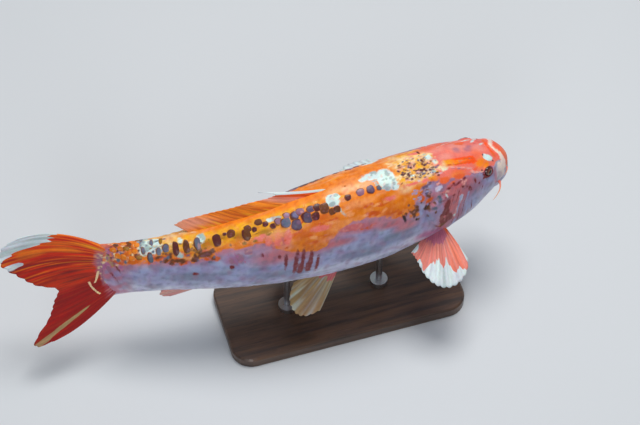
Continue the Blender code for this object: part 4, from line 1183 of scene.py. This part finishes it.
def face_outward(mesh):
    """Turns all faces of a closed surface outward."""
    bm = bmesh.new()
    bm.from_mesh(mesh)
    bmesh.ops.recalc_face_normals(bm, faces=bm.faces)
    if bm.calc_volume(signed=True) < 0:
        bmesh.ops.reverse_faces(bm, faces=bm.faces)
    bm.to_mesh(mesh)
    bm.free()


ATTRIBUTE_KINDS = {1: ("FLOAT", "value"), 3: ("FLOAT_VECTOR", "vector"), 4: ("FLOAT_COLOR", "color")}


def store(mesh, name, values):
    """Keeps a number, a vector or a colour with its edge at every vertex."""
    values = np.asarray(values, np.float32)
    kind, field = ATTRIBUTE_KINDS[values.shape[1] if values.ndim > 1 else 1]
    made = mesh.attributes.new(name, kind, "POINT")
    made.data.foreach_set(field, values.ravel())


def store_paint(mesh, paint, lie):
    """Keeps every coat of the paint, with edges in mm, and the places that the fine patterns read."""
    store(mesh, "under", np.column_stack([paint.under, np.ones(len(paint.under))]))
    for name, (colours, edge) in paint.layers.items():
        store(mesh, name, np.column_stack([colours, edge * 1000]))
    store(mesh, "lie", lie)


def loop_points(mesh):
    found = np.empty(len(mesh.loops), np.int64)
    mesh.loops.foreach_get("vertex_index", found)
    return found


def set_unwrap(mesh, uv):
    """Makes the mesh's one UV map."""
    for layer in list(mesh.uv_layers):
        mesh.uv_layers.remove(layer)
    made = mesh.uv_layers.new(name=UNWRAP)
    made.data.foreach_set("uv", np.asarray(uv, np.float32).ravel())


def body_unwrap(along, turn):
    """Where sites of the body lie on the unwrap."""
    left, bottom, width, height = UNWRAP_BODY
    return np.stack([left + along / TAIL_END * width, bottom + (turn / math.tau + 0.5) * height], -1)


def apply_modifiers(thing):
    bpy.context.view_layer.objects.active = thing
    for modifier in list(thing.modifiers):
        bpy.ops.object.modifier_apply(modifier=modifier.name)


def join(things, name):
    """Joins the things into the first, under that name."""
    clear_selection()
    for thing in things:
        thing.select_set(True)
    bpy.context.view_layer.objects.active = things[0]
    bpy.ops.object.join()
    return named(name)


# ---- finishes ----


def opaque(red, green, blue):
    return (*linear(red, green, blue), 1)


class Tree:
    """Short ways to build a material's nodes."""

    def __init__(self, name):
        self.material = bpy.data.materials.get(name) or bpy.data.materials.new(name)
        self.material.use_nodes = True
        self.tree = self.material.node_tree
        self.shader = self.tree.nodes["Principled BSDF"]

    def plug(self, socket, value):
        """Links a socket to another, or sets it."""
        if isinstance(value, bpy.types.NodeSocket):
            self.tree.links.new(value, socket)
        else:
            socket.default_value = value

    def node(self, kind, inputs=None, **settings):
        made = self.tree.nodes.new(kind)
        for name, value in settings.items():
            setattr(made, name, value)
        for key, value in (inputs or {}).items():
            self.plug(made.inputs[key], value)
        return made

    def maths(self, operation, *values):
        return self.node("ShaderNodeMath", dict(enumerate(values)), operation=operation).outputs[0]

    def noise(self, vector, scale, detail=3.0, roughness=0.5):
        inputs = {"Vector": vector, "Scale": scale, "Detail": detail, "Roughness": roughness}
        return self.node("ShaderNodeTexNoise", inputs).outputs["Fac"]

    def between(self, value, low, high, to_low=0.0, to_high=1.0, interpolation="LINEAR"):
        inputs = {"Value": value, "From Min": low, "From Max": high, "To Min": to_low, "To Max": to_high}
        return self.node("ShaderNodeMapRange", inputs, interpolation_type=interpolation).outputs[0]

    def step(self, value, low, high):
        """An S-curve from 0 at the low value to 1 at the high one."""
        return self.between(value, low, high, interpolation="SMOOTHSTEP")

    def mix(self, share, a, b, blend="MIX"):
        made = self.node("ShaderNodeMix", data_type="RGBA", blend_type=blend)
        sockets = {socket.identifier: socket for socket in made.inputs}
        for key, value in (("Factor_Float", share), ("A_Color", a), ("B_Color", b)):
            self.plug(sockets[key], value)
        return next(s for s in made.outputs if s.identifier == "Result_Color")

    def attribute(self, name):
        return self.node("ShaderNodeAttribute", attribute_name=name)

    def object_lie(self, *stretch):
        """Places in the object's own space, with a scale for each axis if they are given."""
        lie = self.node("ShaderNodeTexCoord").outputs["Object"]
        if stretch:
            lie = self.node("ShaderNodeMapping", {"Vector": lie, "Scale": stretch}).outputs[0]
        return lie

    def give(self, inputs):
        for name, value in inputs.items():
            self.plug(self.shader.inputs[name], value)

    def bump(self, height, strength, distance):
        made = self.node("ShaderNodeBump", {"Height": height, "Strength": strength, "Distance": distance})
        self.give({"Normal": made.outputs[0]})


# Each painted finish: every layer's blur and its raggedness in mm, the fineness of the pores, the roughness,
# the strength of the wet coat, and the strength of the mottling.
PAINTED_FINISHES = {
    "koi_skin": ({"coat": (1.6, 8.0), "patch": (1.1, 6.0), "spot": (0.8, 4.0), "fleck": (0.45, 1.8)},
                 1100.0, 0.46, 0.16, 0.13),
    "koi_fins": ({"coat": (0.9, 5.0), "patch": (0.5, 2.4), "spot": (0.4, 3.0), "fleck": (0.4, 2.0)},
                 700.0, 0.52, 0.05, 0.15),
    "koi_scales": ({"coat": (0.5, 2.4), "patch": (0.9, 4.0), "spot": (1.0, 4.0), "fleck": (0.4, 1.2)},
                   900.0, 0.44, 0.18, 0.18),
}


def painted_finish(name):
    """Wet living skin in its markings."""
    layers, pores, roughness, shine, mottled = PAINTED_FINISHES[name]
    build = Tree(name)
    lie = build.attribute("lie").outputs["Vector"]
    colour = build.attribute("under").outputs["Color"]
    ragged = build.noise(lie, 210.0, 4.0, 0.6)
    fine = build.noise(lie, 900.0, 3.0, 0.6)
    wander = build.maths("ADD", build.maths("MULTIPLY", ragged, 0.75), build.maths("MULTIPLY", fine, 0.25))
    wander = build.maths("SUBTRACT", wander, 0.5)
    for layer, (soft, rough) in layers.items():
        found = build.attribute(layer)
        edge = build.maths("MULTIPLY_ADD", wander, rough, found.outputs["Alpha"])
        colour = build.mix(build.step(edge, -soft, soft), colour, found.outputs["Color"])
    mottle = build.between(build.noise(lie, 70.0, 5.0, 0.65), 0.3, 0.7)
    deep = (1 - mottled, 1 - 1.7 * mottled, 1 - 0.8 * mottled, 1)
    bright = (1 + mottled, 1 + 1.5 * mottled, 1 + 0.6 * mottled, 1)
    colour = build.mix(1.0, colour, build.mix(mottle, deep, bright), "MULTIPLY")
    speckle = build.between(build.noise(lie, 1500.0, 2.0), 0.35, 0.7, 0.93, 1.05)
    tint = build.node("ShaderNodeCombineXYZ", {0: speckle, 1: speckle, 2: speckle}).outputs[0]
    build.give({
        "Base Color": build.mix(1.0, colour, tint, "MULTIPLY"),
        "Roughness": build.between(fine, 0.2, 0.8, roughness - 0.06, roughness + 0.08),
        "Subsurface Weight": 0.12,
        "Subsurface Radius": (1.0, 0.35, 0.2),
        "Subsurface Scale": 0.004,
        "Specular IOR Level": 0.3,
        "Coat Weight": shine,
        "Coat Roughness": 0.12,
    })
    uneven = build.maths("MULTIPLY", ragged, 0.4)
    build.bump(build.maths("MULTIPLY_ADD", build.noise(lie, pores, 3.0, 0.6), 0.6, uneven), 0.35, 0.0004)
    return build.material


# Angles from the pupil's middle, in degrees, between which one ring of the eye gives way to the next.
PUPIL_EDGE, GOLD_EDGE, RIM_EDGE = (30.5, 29.0), (34.0, 31.5), (44.0, 50.0)


def eye_finish():
    """A black pupil in a gold ring, a brown and gold iris and a dark rim, under a clear glossy cornea."""
    build = Tree("koi_eye")
    flecks = build.noise(build.object_lie(), 900.0, 4.0, 0.7)
    wander = build.maths("MULTIPLY", build.maths("SUBTRACT", flecks, 0.5), 3.0)
    angle = build.maths("ADD", build.attribute("angle").outputs["Fac"], wander)
    colour = build.mix(build.step(flecks, 0.35, 0.65), opaque(74, 24, 18), opaque(118, 50, 30))
    colour = build.mix(build.step(angle, *GOLD_EDGE), colour, opaque(178, 116, 62))
    colour = build.mix(build.step(angle, *PUPIL_EDGE), colour, (0.006, 0.003, 0.003, 1))
    build.give({
        "Base Color": build.mix(build.step(angle, *RIM_EDGE), colour, opaque(70, 22, 20)),
        "Roughness": build.between(flecks, 0.2, 0.8, 0.16, 0.26),
        "Coat Weight": 1.0,
        "Coat Roughness": 0.03,
    })
    return build.material


def wood_finish():
    """Dark stained wood with fine grain along the base, under satin lacquer."""
    build = Tree("stand_wood")
    bands = build.noise(build.object_lie(1.0, 14.0, 14.0), 9.0, 6.0, 0.6)
    pores = build.noise(build.object_lie(1.0, 60.0, 60.0), 30.0, 2.0)
    colour = build.mix(build.step(bands, 0.3, 0.7), opaque(52, 36, 28), opaque(96, 66, 46))
    build.give({
        "Base Color": build.mix(build.step(pores, 0.60, 0.72), colour, opaque(30, 20, 16)),
        "Roughness": build.between(pores, 0.3, 0.7, 0.34, 0.48),
        "Coat Weight": 0.25,
        "Coat Roughness": 0.2,
    })
    build.bump(pores, 0.25, 0.0002)
    return build.material


def steel_finish():
    """Brushed stainless steel."""
    build = Tree("stand_steel")
    brushed = build.noise(build.object_lie(1.0, 1.0, 60.0), 260.0, 3.0)
    build.give({
        "Base Color": opaque(190, 190, 192),
        "Metallic": 1.0,
        "Roughness": build.between(brushed, 0.2, 0.8, 0.24, 0.38),
    })
    build.bump(brushed, 0.08, 0.0001)
    return build.material


def floor_finish():
    build = Tree("stage_floor")
    build.give({"Base Color": (*bpy.context.scene.koi_stage.floor, 1), "Roughness": 0.9})
    return build.material


# ---- the skin ----

# Wanted distance between the body's rings, by the distance from the snout's tip along the back, in metres.
RING_SPACING = (
    (0.0, 0.0006), (0.075, 0.0008), (0.13, 0.0011), (0.23, 0.0015), (0.30, 0.0023), (0.60, 0.0025),
)
BACK_CROWDING = 0.35  # how much closer together the columns lie on the back, in radians at the flanks
POLE = 1e-7  # stations this near the ends belong to the poles


def ring_stations():
    """Stations of the body's rings, close-set on the head and wider behind it."""
    fine = TAIL_END * (1 - np.cos(math.pi * np.linspace(0, 1, 6001))) / 2
    crown = outline(fine)[0] * rounding(fine)
    walked = np.concatenate([[0], np.cumsum(np.hypot(np.diff(fine), np.diff(crown)))])
    spacing = np.interp(walked, *np.array(RING_SPACING).T)
    count = np.concatenate([[0], np.cumsum(np.diff(walked) / spacing[1:])])
    return np.interp(np.linspace(0, count[-1], round(count[-1]) + 1), count, fine)


def sphere_sites(down, around, stations):
    """A ball's vertices as sites of the body: its poles are the snout and the end of the stem.

    Behind the head they lie closer together on the back than on the belly.
    """
    rings = down / math.pi * (len(stations) - 1)
    along = np.interp(rings, np.arange(len(stations)), stations)
    return along, around - BACK_CROWDING * ramp(along / BODY, 0.12, 0.12) * np.sin(around)


def corner_sites(mesh, along, turn):
    """The sites of all face corners, with no face drawn out across the seam or at a pole."""
    corner = loop_points(mesh)
    count = len(mesh.polygons)
    totals = np.empty(count, np.int64)
    mesh.polygons.foreach_get("loop_total", totals)
    face = np.repeat(np.arange(count), totals)
    turns, stops = turn[corner], along[corner]
    inner = (stops >= POLE) & (stops <= TAIL_END - POLE)
    high = np.full(count, -math.tau)
    np.maximum.at(high, face[inner], turns[inner])
    turns = np.where(high[face] - turns > math.pi, turns + math.tau, turns)
    mean = np.bincount(face[inner], turns[inner], count) / np.bincount(face[inner], minlength=count)
    return stops, np.where(inner, turns, mean[face])


def make_body(sizes):
    stations = ring_stations()
    body, _, down, around = add_ball("body", sizes.segments, len(stations) - 1)
    mesh = body.data
    along, turn = sphere_sites(down, around, stations)
    positions = place(surface(along, turn, sizes))
    move_points(mesh, positions)
    set_unwrap(mesh, body_unwrap(*corner_sites(mesh, along, turn)))
    store_paint(mesh, paint_body(along, turn), positions)
    mesh.materials.append(painted_finish("koi_skin"))
    face_outward(mesh)
    return body


FORK_START, FORK_RUN = 0.3, 0.4  # shares out along the rays over which each splits in two
FILM, RIB = 0.75, 0.65  # of the edge's thickness: between the rays, and what a ray adds
RIB_POWER, FLESH_POWER = 1.5, 3
FULL_THICK = 1.4  # the greatest thickness, as a share of the root's
LIE_GAP, LIE_SQUEEZE = 0.0035, 0.16  # of the fine patterns: from ray to ray, and along the rays
PATCH_FILL = 0.96  # share of its patch on the unwrap that a fin fills


def fin_thickness(fin, across, out, edge):
    """Thick on the rays and thin between them, thinning towards the edge."""
    ray, twig = (np.abs(np.cos(turn * fin.rays * across)) for turn in (math.pi, math.tau))
    forked = ramp(out, FORK_START, FORK_RUN)
    ribs = ray**RIB_POWER * (1 - forked) + twig**RIB_POWER * forked
    return edge * (FILM + RIB * ribs) + fin.thick * (1 - out) ** FLESH_POWER


def thicken(blade, thickness, full):
    """Gives a sheet its two sides, by the thickness at each vertex."""
    group = blade.vertex_groups.new(name="thickness")
    for index, share in enumerate(np.clip(thickness / full, 0, 1)):
        group.add([index], float(share), "REPLACE")
    thick = blade.modifiers.new("thickness", "SOLIDIFY")
    thick.thickness = full
    thick.offset = 0
    thick.vertex_group = group.name
    thick.thickness_vertex_group = 0
    apply_modifiers(blade)
    blade.vertex_groups.clear()


def make_fin(name, fin, sizes):
    """A grid laid over the rays, painted and thickened."""
    clear_selection()
    columns = fin.rays * COLUMNS_PER_RAY
    bpy.ops.mesh.primitive_grid_add(x_subdivisions=columns, y_subdivisions=fin.rows, size=1)
    blade = named(name)
    mesh = blade.data
    found = points_of(mesh)
    across, out = found[:, 0] + 0.5, found[:, 1] + 0.5
    move_points(mesh, place(fin.places(across, out)))
    corner = loop_points(mesh)
    left, bottom, width, height = fin.patch
    wide = PATCH_FILL * height / 2 if height > width else 0.46 * height
    set_unwrap(mesh, np.stack([left + out[corner] * width * PATCH_FILL, bottom + across[corner] * wide], -1))
    paint = PAINTED_FINS[name](fin, across, out)
    # Painted shade: every colour is a tenth darker between the rays, where the fin is thin and grooved, than
    # on the rays; the streaks add random tone.
    ray = np.abs(np.cos(math.pi * fin.rays * across))
    paint.shade(0.90 + 0.10 * ray + 0.12 * paint.streaks(40, 0.5) * smooth(out / 0.3))
    lie = (across * fin.rays * LIE_GAP, out * fin.length * LIE_SQUEEZE, np.full_like(out, bottom))
    store_paint(mesh, paint, np.stack(lie, -1) + left)
    thicken(blade, fin_thickness(fin, across, out, sizes.fin_edge), fin.thick * FULL_THICK)
    mesh = blade.data
    uv = np.empty(len(mesh.loops) * 2)
    mesh.uv_layers[UNWRAP].data.foreach_get("uv", uv)
    uv = uv.reshape(-1, 2)
    per_side = columns * fin.rows * 4
    uv[per_side : 2 * per_side, 1] += height / 2
    set_unwrap(mesh, uv)
    mesh.materials.append(painted_finish("koi_fins"))
    return blade


# Station, turn in radians on the right, length, and radius at the root.
BARBELS = {
    "barbel_lip": (0.020 * BODY, math.radians(88), 0.010, 0.0009),
    "barbel_corner": (0.050 * BODY, math.radians(102), 0.022, 0.0012),
}
BARBEL_ROOT = 0.12  # share of the length that is sunk in the lip
BARBEL_TIP = 0.35  # share of the root's radius that the tip keeps
BARBEL_SWEEP, BARBEL_SAG = 0.75, 0.35  # shares of the length by which the tip trails back and hangs
BARBEL_COLLAR = (0, 0.9, 0.10)  # a swelling at the root, in shares of the radius and the length
BARBEL_PATCH = (0.012, 0.004)  # its size on the unwrap


def make_barbel(name, along, turn, length, radius):
    """A tapered feeler, rooted in the lip, that trails back and hangs a little."""
    barbel, _, down, spin = add_ball(name, 14, 26)
    mesh = barbel.data
    share = down / math.pi
    root = place(skin(along, turn))
    out = unit(root - place(np.array([along, 0, outline(along)[3]])))
    back = unit(place(np.array([along + 0.01, 0, 0])) - place(np.array([along, 0, 0])))
    t = share * (1 + BARBEL_ROOT) - BARBEL_ROOT
    free = np.maximum(t, 0)
    line = root + (out * (t - BARBEL_SAG * t**2 * np.sign(t))[:, None]) * length
    line = line + (back * BARBEL_SWEEP - np.array([0, 0, BARBEL_SAG])) * (free**2)[:, None] * length
    side = unit(np.cross(out, back))
    over = unit(np.cross(side, unit(out + back * 0.5)))
    thick = radius * (1 + (BARBEL_TIP - 1) * free) * np.sqrt(np.clip(1 - (2 * share - 1) ** 10, 0, 1))
    thick = thick + radius * ridge(t, *BARBEL_COLLAR) * (share > 0.01)
    positions = line + side * (np.cos(spin) * thick)[:, None] + over * (np.sin(spin) * thick)[:, None]
    move_points(mesh, positions)
    corner = loop_points(mesh)
    patch = np.stack([share, spin / math.tau], -1)[corner] * BARBEL_PATCH
    set_unwrap(mesh, body_unwrap(along, turn) + patch)
    paint = Paint(len(share), "salmon")
    paint.soften("under", "cream", 0.6 * np.clip(t, 0, 1))
    store_paint(mesh, paint, positions)
    mesh.materials.append(painted_finish("koi_skin"))
    face_outward(mesh)
    return barbel


FLESH = (
    "head", "lower_jaw", "gill_cover_left", "gill_cover_right", "trunk_front", "trunk_middle", "trunk_rear",
    "tail_stem", "dorsal_fin", "anal_fin", "caudal_fin_upper", "caudal_fin_lower", "pectoral_fin_left",
    "pectoral_fin_right", "pelvic_fin_left", "pelvic_fin_right", "barbel_lip_left", "barbel_lip_right",
    "barbel_corner_left", "barbel_corner_right",
)


class KOI_OT_skin(bpy.types.Operator):
    """Adds the one skin over body, fins and feelers"""

    bl_idname = "koi.skin"
    bl_label = "Skin and fins"

    def execute(self, context):
        sizes = context.scene.koi_sizes
        parts = [make_body(sizes)]
        parts += [make_fin(name, fin, sizes) for name, fin in FINS.items()]
        for name, (along, turn, length, radius) in BARBELS.items():
            parts += [make_barbel(name, along, side * turn, length, radius) for side in (-1, 1)]
        whole = join(parts, "koi_skin")
        whole.data.shade_smooth()
        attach(whole, "root")
        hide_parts(*FLESH)
        return {"FINISHED"}


# ---- scales and eyes ----

SCALE_SEGMENTS, SCALE_RINGS = 22, 12
SCALE_THICK = 0.0010
SCALE_PATCH = 0.003  # a scale's width on the unwrap
SCALE_BOX = 2.6  # power of a scale's super-elliptic outline
SCALE_LIFT = 0.00035  # of a large scale's rear edge
LARGE = 0.006  # half width of a large scale
RAGGED = ((2, 3, 5), 0.045)  # waves round a scale's outline, and their height as a share
GROWTH_RINGS, RING_HEIGHT = 3.5, 0.00005
WARM = ("amber", "burnt", "salmon", "orange")
# Painted highlight, in part: the pale spot that these tones may show is partly the scale's lighter middle and
# partly a glint.
PALE_SPOT_TONES = ("plum", "dusk", "slate")  # tones of scales that may show a pale middle
LIE_STEP = 0.05  # sets the fine patterns of each scale apart from the next one's


def scale_form(ball, half_length, half_width, phases):
    """A disc's places along and across the fish, in metres, within an uneven super-elliptic outline."""
    angle = np.arctan2(ball[:, 1], ball[:, 0])
    radius = np.hypot(ball[:, 0], ball[:, 1])
    boxy = (np.abs(np.cos(angle)) ** SCALE_BOX + np.abs(np.sin(angle)) ** SCALE_BOX) ** (-1 / SCALE_BOX)
    waves, height = RAGGED
    ragged = boxy * (1 + sum(height * np.sin(angle * n + p) for n, p in zip(waves, phases)))
    x = np.cos(angle) * radius * half_length * ragged
    return x, np.sin(angle) * radius * half_width * ragged, radius


def scale_proud(sizes, ball, radius, x, half_length, size):
    """How far a scale's two sides stand out from the skin: crowned, ringed and lifted at the rear."""
    rise = sizes.scale_rise * min(1.0, 0.45 + 0.55 * size)
    rings = RING_HEIGHT * np.cos(radius * math.tau * GROWTH_RINGS) * (radius < 0.9)
    lift = SCALE_LIFT * size * x / half_length
    top = ball[:, 2] > -1e-6
    return np.where(top, rise * (1 - radius**3) + lift + rings + 0.00010, lift - SCALE_THICK)


def paint_scale(draw, number, name, ground, x, y, radius, half_length, half_width):
    """A dark rim, a clouded middle in the scale's tone and, on some, a pale spot that is partly a lighter
    middle and partly a painted highlight.
    """
    paint = Paint(len(x), ground)
    tone, warm, third = paint.tone, name in WARM, number % 3
    small = min(half_length, half_width)
    rim = (tone["burnt"] + tone[name]) / 2 if warm else tone[("umber", "maroon", "umber")[third]]
    paint.soften("under", rim, np.full(len(x), 0.35))
    paint.lay("coat", rim, (1 - radius) * small - 0.0003)
    deep = tone[name] * draw.uniform(0.75, 1.1)
    cloud = ripples(np.stack([x, y, np.full_like(x, 0.01 * number)], -1), 0.0045, 71)
    cast = tone["cream" if warm else ("dusk", "umber", "mauve")[third]]
    deep = deep + (cast - deep) * (0.30 * smooth(cloud))[:, None]
    off = np.hypot(x / half_length + draw.uniform(0, 0.25), y / half_width + draw.uniform(-0.25, 0.15))
    paint.lay("patch", deep, (0.90 - off) * small)
    # Painted highlight, in part: a pale spot a little off the middle of some large scales.
    pale = tone[name] * 0.6 + tone[("lavender", "dusk", "blush")[third]] * 0.4
    pale_and_highlight_reach = draw.uniform(-0.2, 0.6) if name in PALE_SPOT_TONES and small > 0.004 else -1
    apart = np.hypot(x / half_length + draw.uniform(0, 0.4), y / half_width + draw.uniform(-0.4, 0.4))
    paint.lay("spot", pale, (pale_and_highlight_reach - apart) * small)
    return paint


def skin_colours(along, turn):
    """The body's own colours at sites, without its finer marks."""
    ground = paint_body(along, turn)
    coat, edge = ground.layers["coat"]
    return np.where(edge[:, None] > 0, coat, ground.under)


def joined_paint(paints):
    whole = Paint(0, (0, 0, 0))
    whole.under = np.concatenate([paint.under for paint in paints])
    for layer in Paint.LAYERS:
        whole.layers[layer] = [np.concatenate([paint.layers[layer][k] for paint in paints]) for k in (0, 1)]
    return whole


def make_scales(sizes):
    """Thin plates over the skin, each modelled on a ball that is taken as a disc's two sides."""
    draw = np.random.default_rng(41)
    template, ball, _, _ = add_ball("scale", SCALE_SEGMENTS, SCALE_RINGS)
    faces = [tuple(face.vertices) for face in template.data.polygons]
    bpy.data.objects.remove(template)
    sites = scale_sites(draw)
    shares, turns = (np.array([site[k] for site in sites]) for k in (0, 1))
    grounds, roots = skin_colours(shares * BODY, turns), body_unwrap(shares * BODY, turns)
    positions, uvs, every_face, paints, lies = [], [], [], [], []
    for number, (share, turn, half_length, half_width, name) in enumerate(sites):
        x, y, radius = scale_form(ball, half_length, half_width, draw.uniform(0, math.tau, 3))
        proud = scale_proud(sizes, ball, radius, x, half_length, min(half_length, half_width) / LARGE)
        at = place(surface(share * BODY + x, turn + y / girth(share * BODY), sizes, proud))
        positions.append(at)
        uvs.append(roots[number] + SCALE_PATCH * np.stack([x / half_length, y / half_width], -1) / 2)
        every_face += [tuple(index + number * len(ball) for index in face) for face in faces]
        paints.append(paint_scale(draw, number, name, grounds[number], x, y, radius, half_length, half_width))
        lies.append(at + number * LIE_STEP)
    mesh = bpy.data.meshes.new("koi_scales")
    mesh.from_pydata(np.concatenate(positions), [], every_face)
    whole = bpy.data.objects.new("koi_scales", mesh)
    bpy.context.scene.collection.objects.link(whole)
    set_unwrap(mesh, np.concatenate(uvs)[loop_points(mesh)])
    store_paint(mesh, joined_paint(paints), np.concatenate(lies))
    mesh.materials.append(painted_finish("koi_scales"))
    mesh.shade_smooth()
    face_outward(mesh)
    return whole


class KOI_OT_scales(bpy.types.Operator):
    """Adds the large scales along both sides of the back and at the tail"""

    bl_idname = "koi.scales"
    bl_label = "Scales"

    def execute(self, context):
        scales = make_scales(context.scene.koi_sizes)
        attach(scales, "root")
        return {"FINISHED"}


GAZE_AHEAD = 0.10  # how far the eyes look ahead of straight outward
CORNEA_RISE, CORNEA_EDGE = 0.055, 38  # share of the radius, and degrees from the pupil's middle


def make_eye(side, sign):
    """A ball sunk in its socket, with a bulging cornea."""
    eye, found, down, _ = add_ball(f"koi_eye_{side}", 48, 32)
    mesh = eye.data
    centre = place(eye_centre_place(sign))
    gaze = outward(np.array([EYE_ALONG]), np.array([sign * EYE_GAZE]))[0] - (GAZE_AHEAD, 0, 0)
    axis = unit(place(eye_centre_place(sign) + 0.001 * gaze) - centre)
    side_axis = unit(np.cross(axis, (0, 0, 1)))
    over = np.cross(side_axis, axis)
    angle = np.degrees(down)
    bulge = 1 + CORNEA_RISE * (1 - smooth(angle / CORNEA_EDGE))
    turned = found[:, :1] * side_axis + found[:, 1:2] * over + found[:, 2:] * axis
    move_points(mesh, centre + turned * EYE_RADIUS * bulge[:, None])
    store(mesh, "angle", angle)
    mesh.materials.append(eye_finish())
    mesh.shade_smooth()
    face_outward(mesh)
    return eye


class KOI_OT_eyes(bpy.types.Operator):
    """Adds the two eyes"""

    bl_idname = "koi.eyes"
    bl_label = "Eyes"

    def execute(self, context):
        for side, sign in (("left", -1), ("right", 1)):
            eye = make_eye(side, sign)
            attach(eye, "root")
            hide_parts(f"eye_{side}")
        return {"FINISHED"}


# ---- the stand ----


class KOI_OT_stand(bpy.types.Operator):
    """Gives the stand its wood and steel"""

    bl_idname = "koi.stand"
    bl_label = "Stand"

    def execute(self, context):
        for name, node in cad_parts.items():
            if name.startswith("stand_"):
                finish = wood_finish() if name == "stand_base" else steel_finish()
                node.material_slots[0].material = finish
        return {"FINISHED"}


# ---- the stage ----

TARGET = (-0.018, 0.021, AXIS_HEIGHT)  # what the camera and the lights look at
LENS = 105.0
NEAR_CLIP = 0.05
FLOOR_SIZE = 12
SKY, SKY_STRENGTH = (0.88, 0.93, 1.0, 1), 0.32
# Each light's place, its size, the setting that holds its power, and its colour.
LIGHTS = {
    "key_light": ((0.30, 0.35, 2.40), 1.0, "key_power", (1.0, 0.98, 0.95)),
    "fill_light": ((-0.9, -1.9, 1.3), 0.8, "fill_power", (0.92, 0.96, 1.0)),
}


def add_light(name, position, size, power, colour):
    bpy.ops.object.light_add(type="AREA", location=position)
    light = named(name)
    light.data.size = size
    light.data.energy = power
    light.data.color = colour
    aim = Vector(TARGET) - Vector(position)
    light.rotation_euler = aim.to_track_quat("-Z", "Y").to_euler()


class KOI_OT_stage(bpy.types.Operator):
    """Adds the floor, the lights and the camera"""

    bl_idname = "koi.stage"
    bl_label = "Stage"

    def execute(self, context):
        settings = context.scene.koi_stage
        clear_selection()
        bpy.ops.mesh.primitive_plane_add(size=FLOOR_SIZE)
        floor = named("stage_floor")
        floor.data.materials.append(floor_finish())
        for name, (position, size, power, colour) in LIGHTS.items():
            add_light(name, position, size, getattr(settings, power), colour)
        world = context.scene.world or bpy.data.worlds.new("studio")
        context.scene.world = world
        world.use_nodes = True
        background = world.node_tree.nodes["Background"]
        background.inputs["Color"].default_value = SKY
        background.inputs["Strength"].default_value = SKY_STRENGTH
        level = math.cos(settings.elevation)
        aside, behind = math.sin(settings.azimuth) * level, -math.cos(settings.azimuth) * level
        back = Vector((aside, behind, math.sin(settings.elevation)))
        bpy.ops.object.camera_add(location=Vector(TARGET) + back * settings.distance)
        camera = named("camera")
        camera.rotation_euler = (-back).to_track_quat("-Z", "Y").to_euler()
        camera.data.lens = LENS
        camera.data.clip_start = NEAR_CLIP
        context.scene.camera = camera
        context.scene.view_settings.view_transform = "Standard"
        return {"FINISHED"}


# ---- panel and registration ----

OPERATORS = (KOI_OT_skin, KOI_OT_scales, KOI_OT_eyes, KOI_OT_stand, KOI_OT_stage)


class KOI_PT_panel(bpy.types.Panel):
    """Lists the sizes, the colours and the steps"""

    bl_idname = "KOI_PT_panel"
    bl_label = "Koi carp"
    bl_space_type = "VIEW_3D"
    bl_region_type = "UI"
    bl_category = "Koi"

    def draw(self, context):
        for group in (context.scene.koi_sizes, context.scene.koi_colours, context.scene.koi_stage):
            for name in group.__annotations__:
                self.layout.prop(group, name)
        for operator in OPERATORS:
            self.layout.operator(operator.bl_idname)


GROUPS = {"koi_sizes": KoiSizes, "koi_colours": KoiColours, "koi_stage": KoiStage}


def register():
    for made in (*GROUPS.values(), *OPERATORS, KOI_PT_panel):
        bpy.utils.register_class(made)
    for name, group in GROUPS.items():
        setattr(bpy.types.Scene, name, PointerProperty(type=group))


def unregister():
    for name in GROUPS:
        delattr(bpy.types.Scene, name)
    for made in (KOI_PT_panel, *reversed(OPERATORS), *reversed(GROUPS.values())):
        bpy.utils.unregister_class(made)


def main():
    register()
    bpy.ops.koi.skin()
    bpy.ops.koi.scales()
    bpy.ops.koi.eyes()
    bpy.ops.koi.stand()
    bpy.ops.koi.stage()
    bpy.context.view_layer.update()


if __name__ == "__main__":
    main()
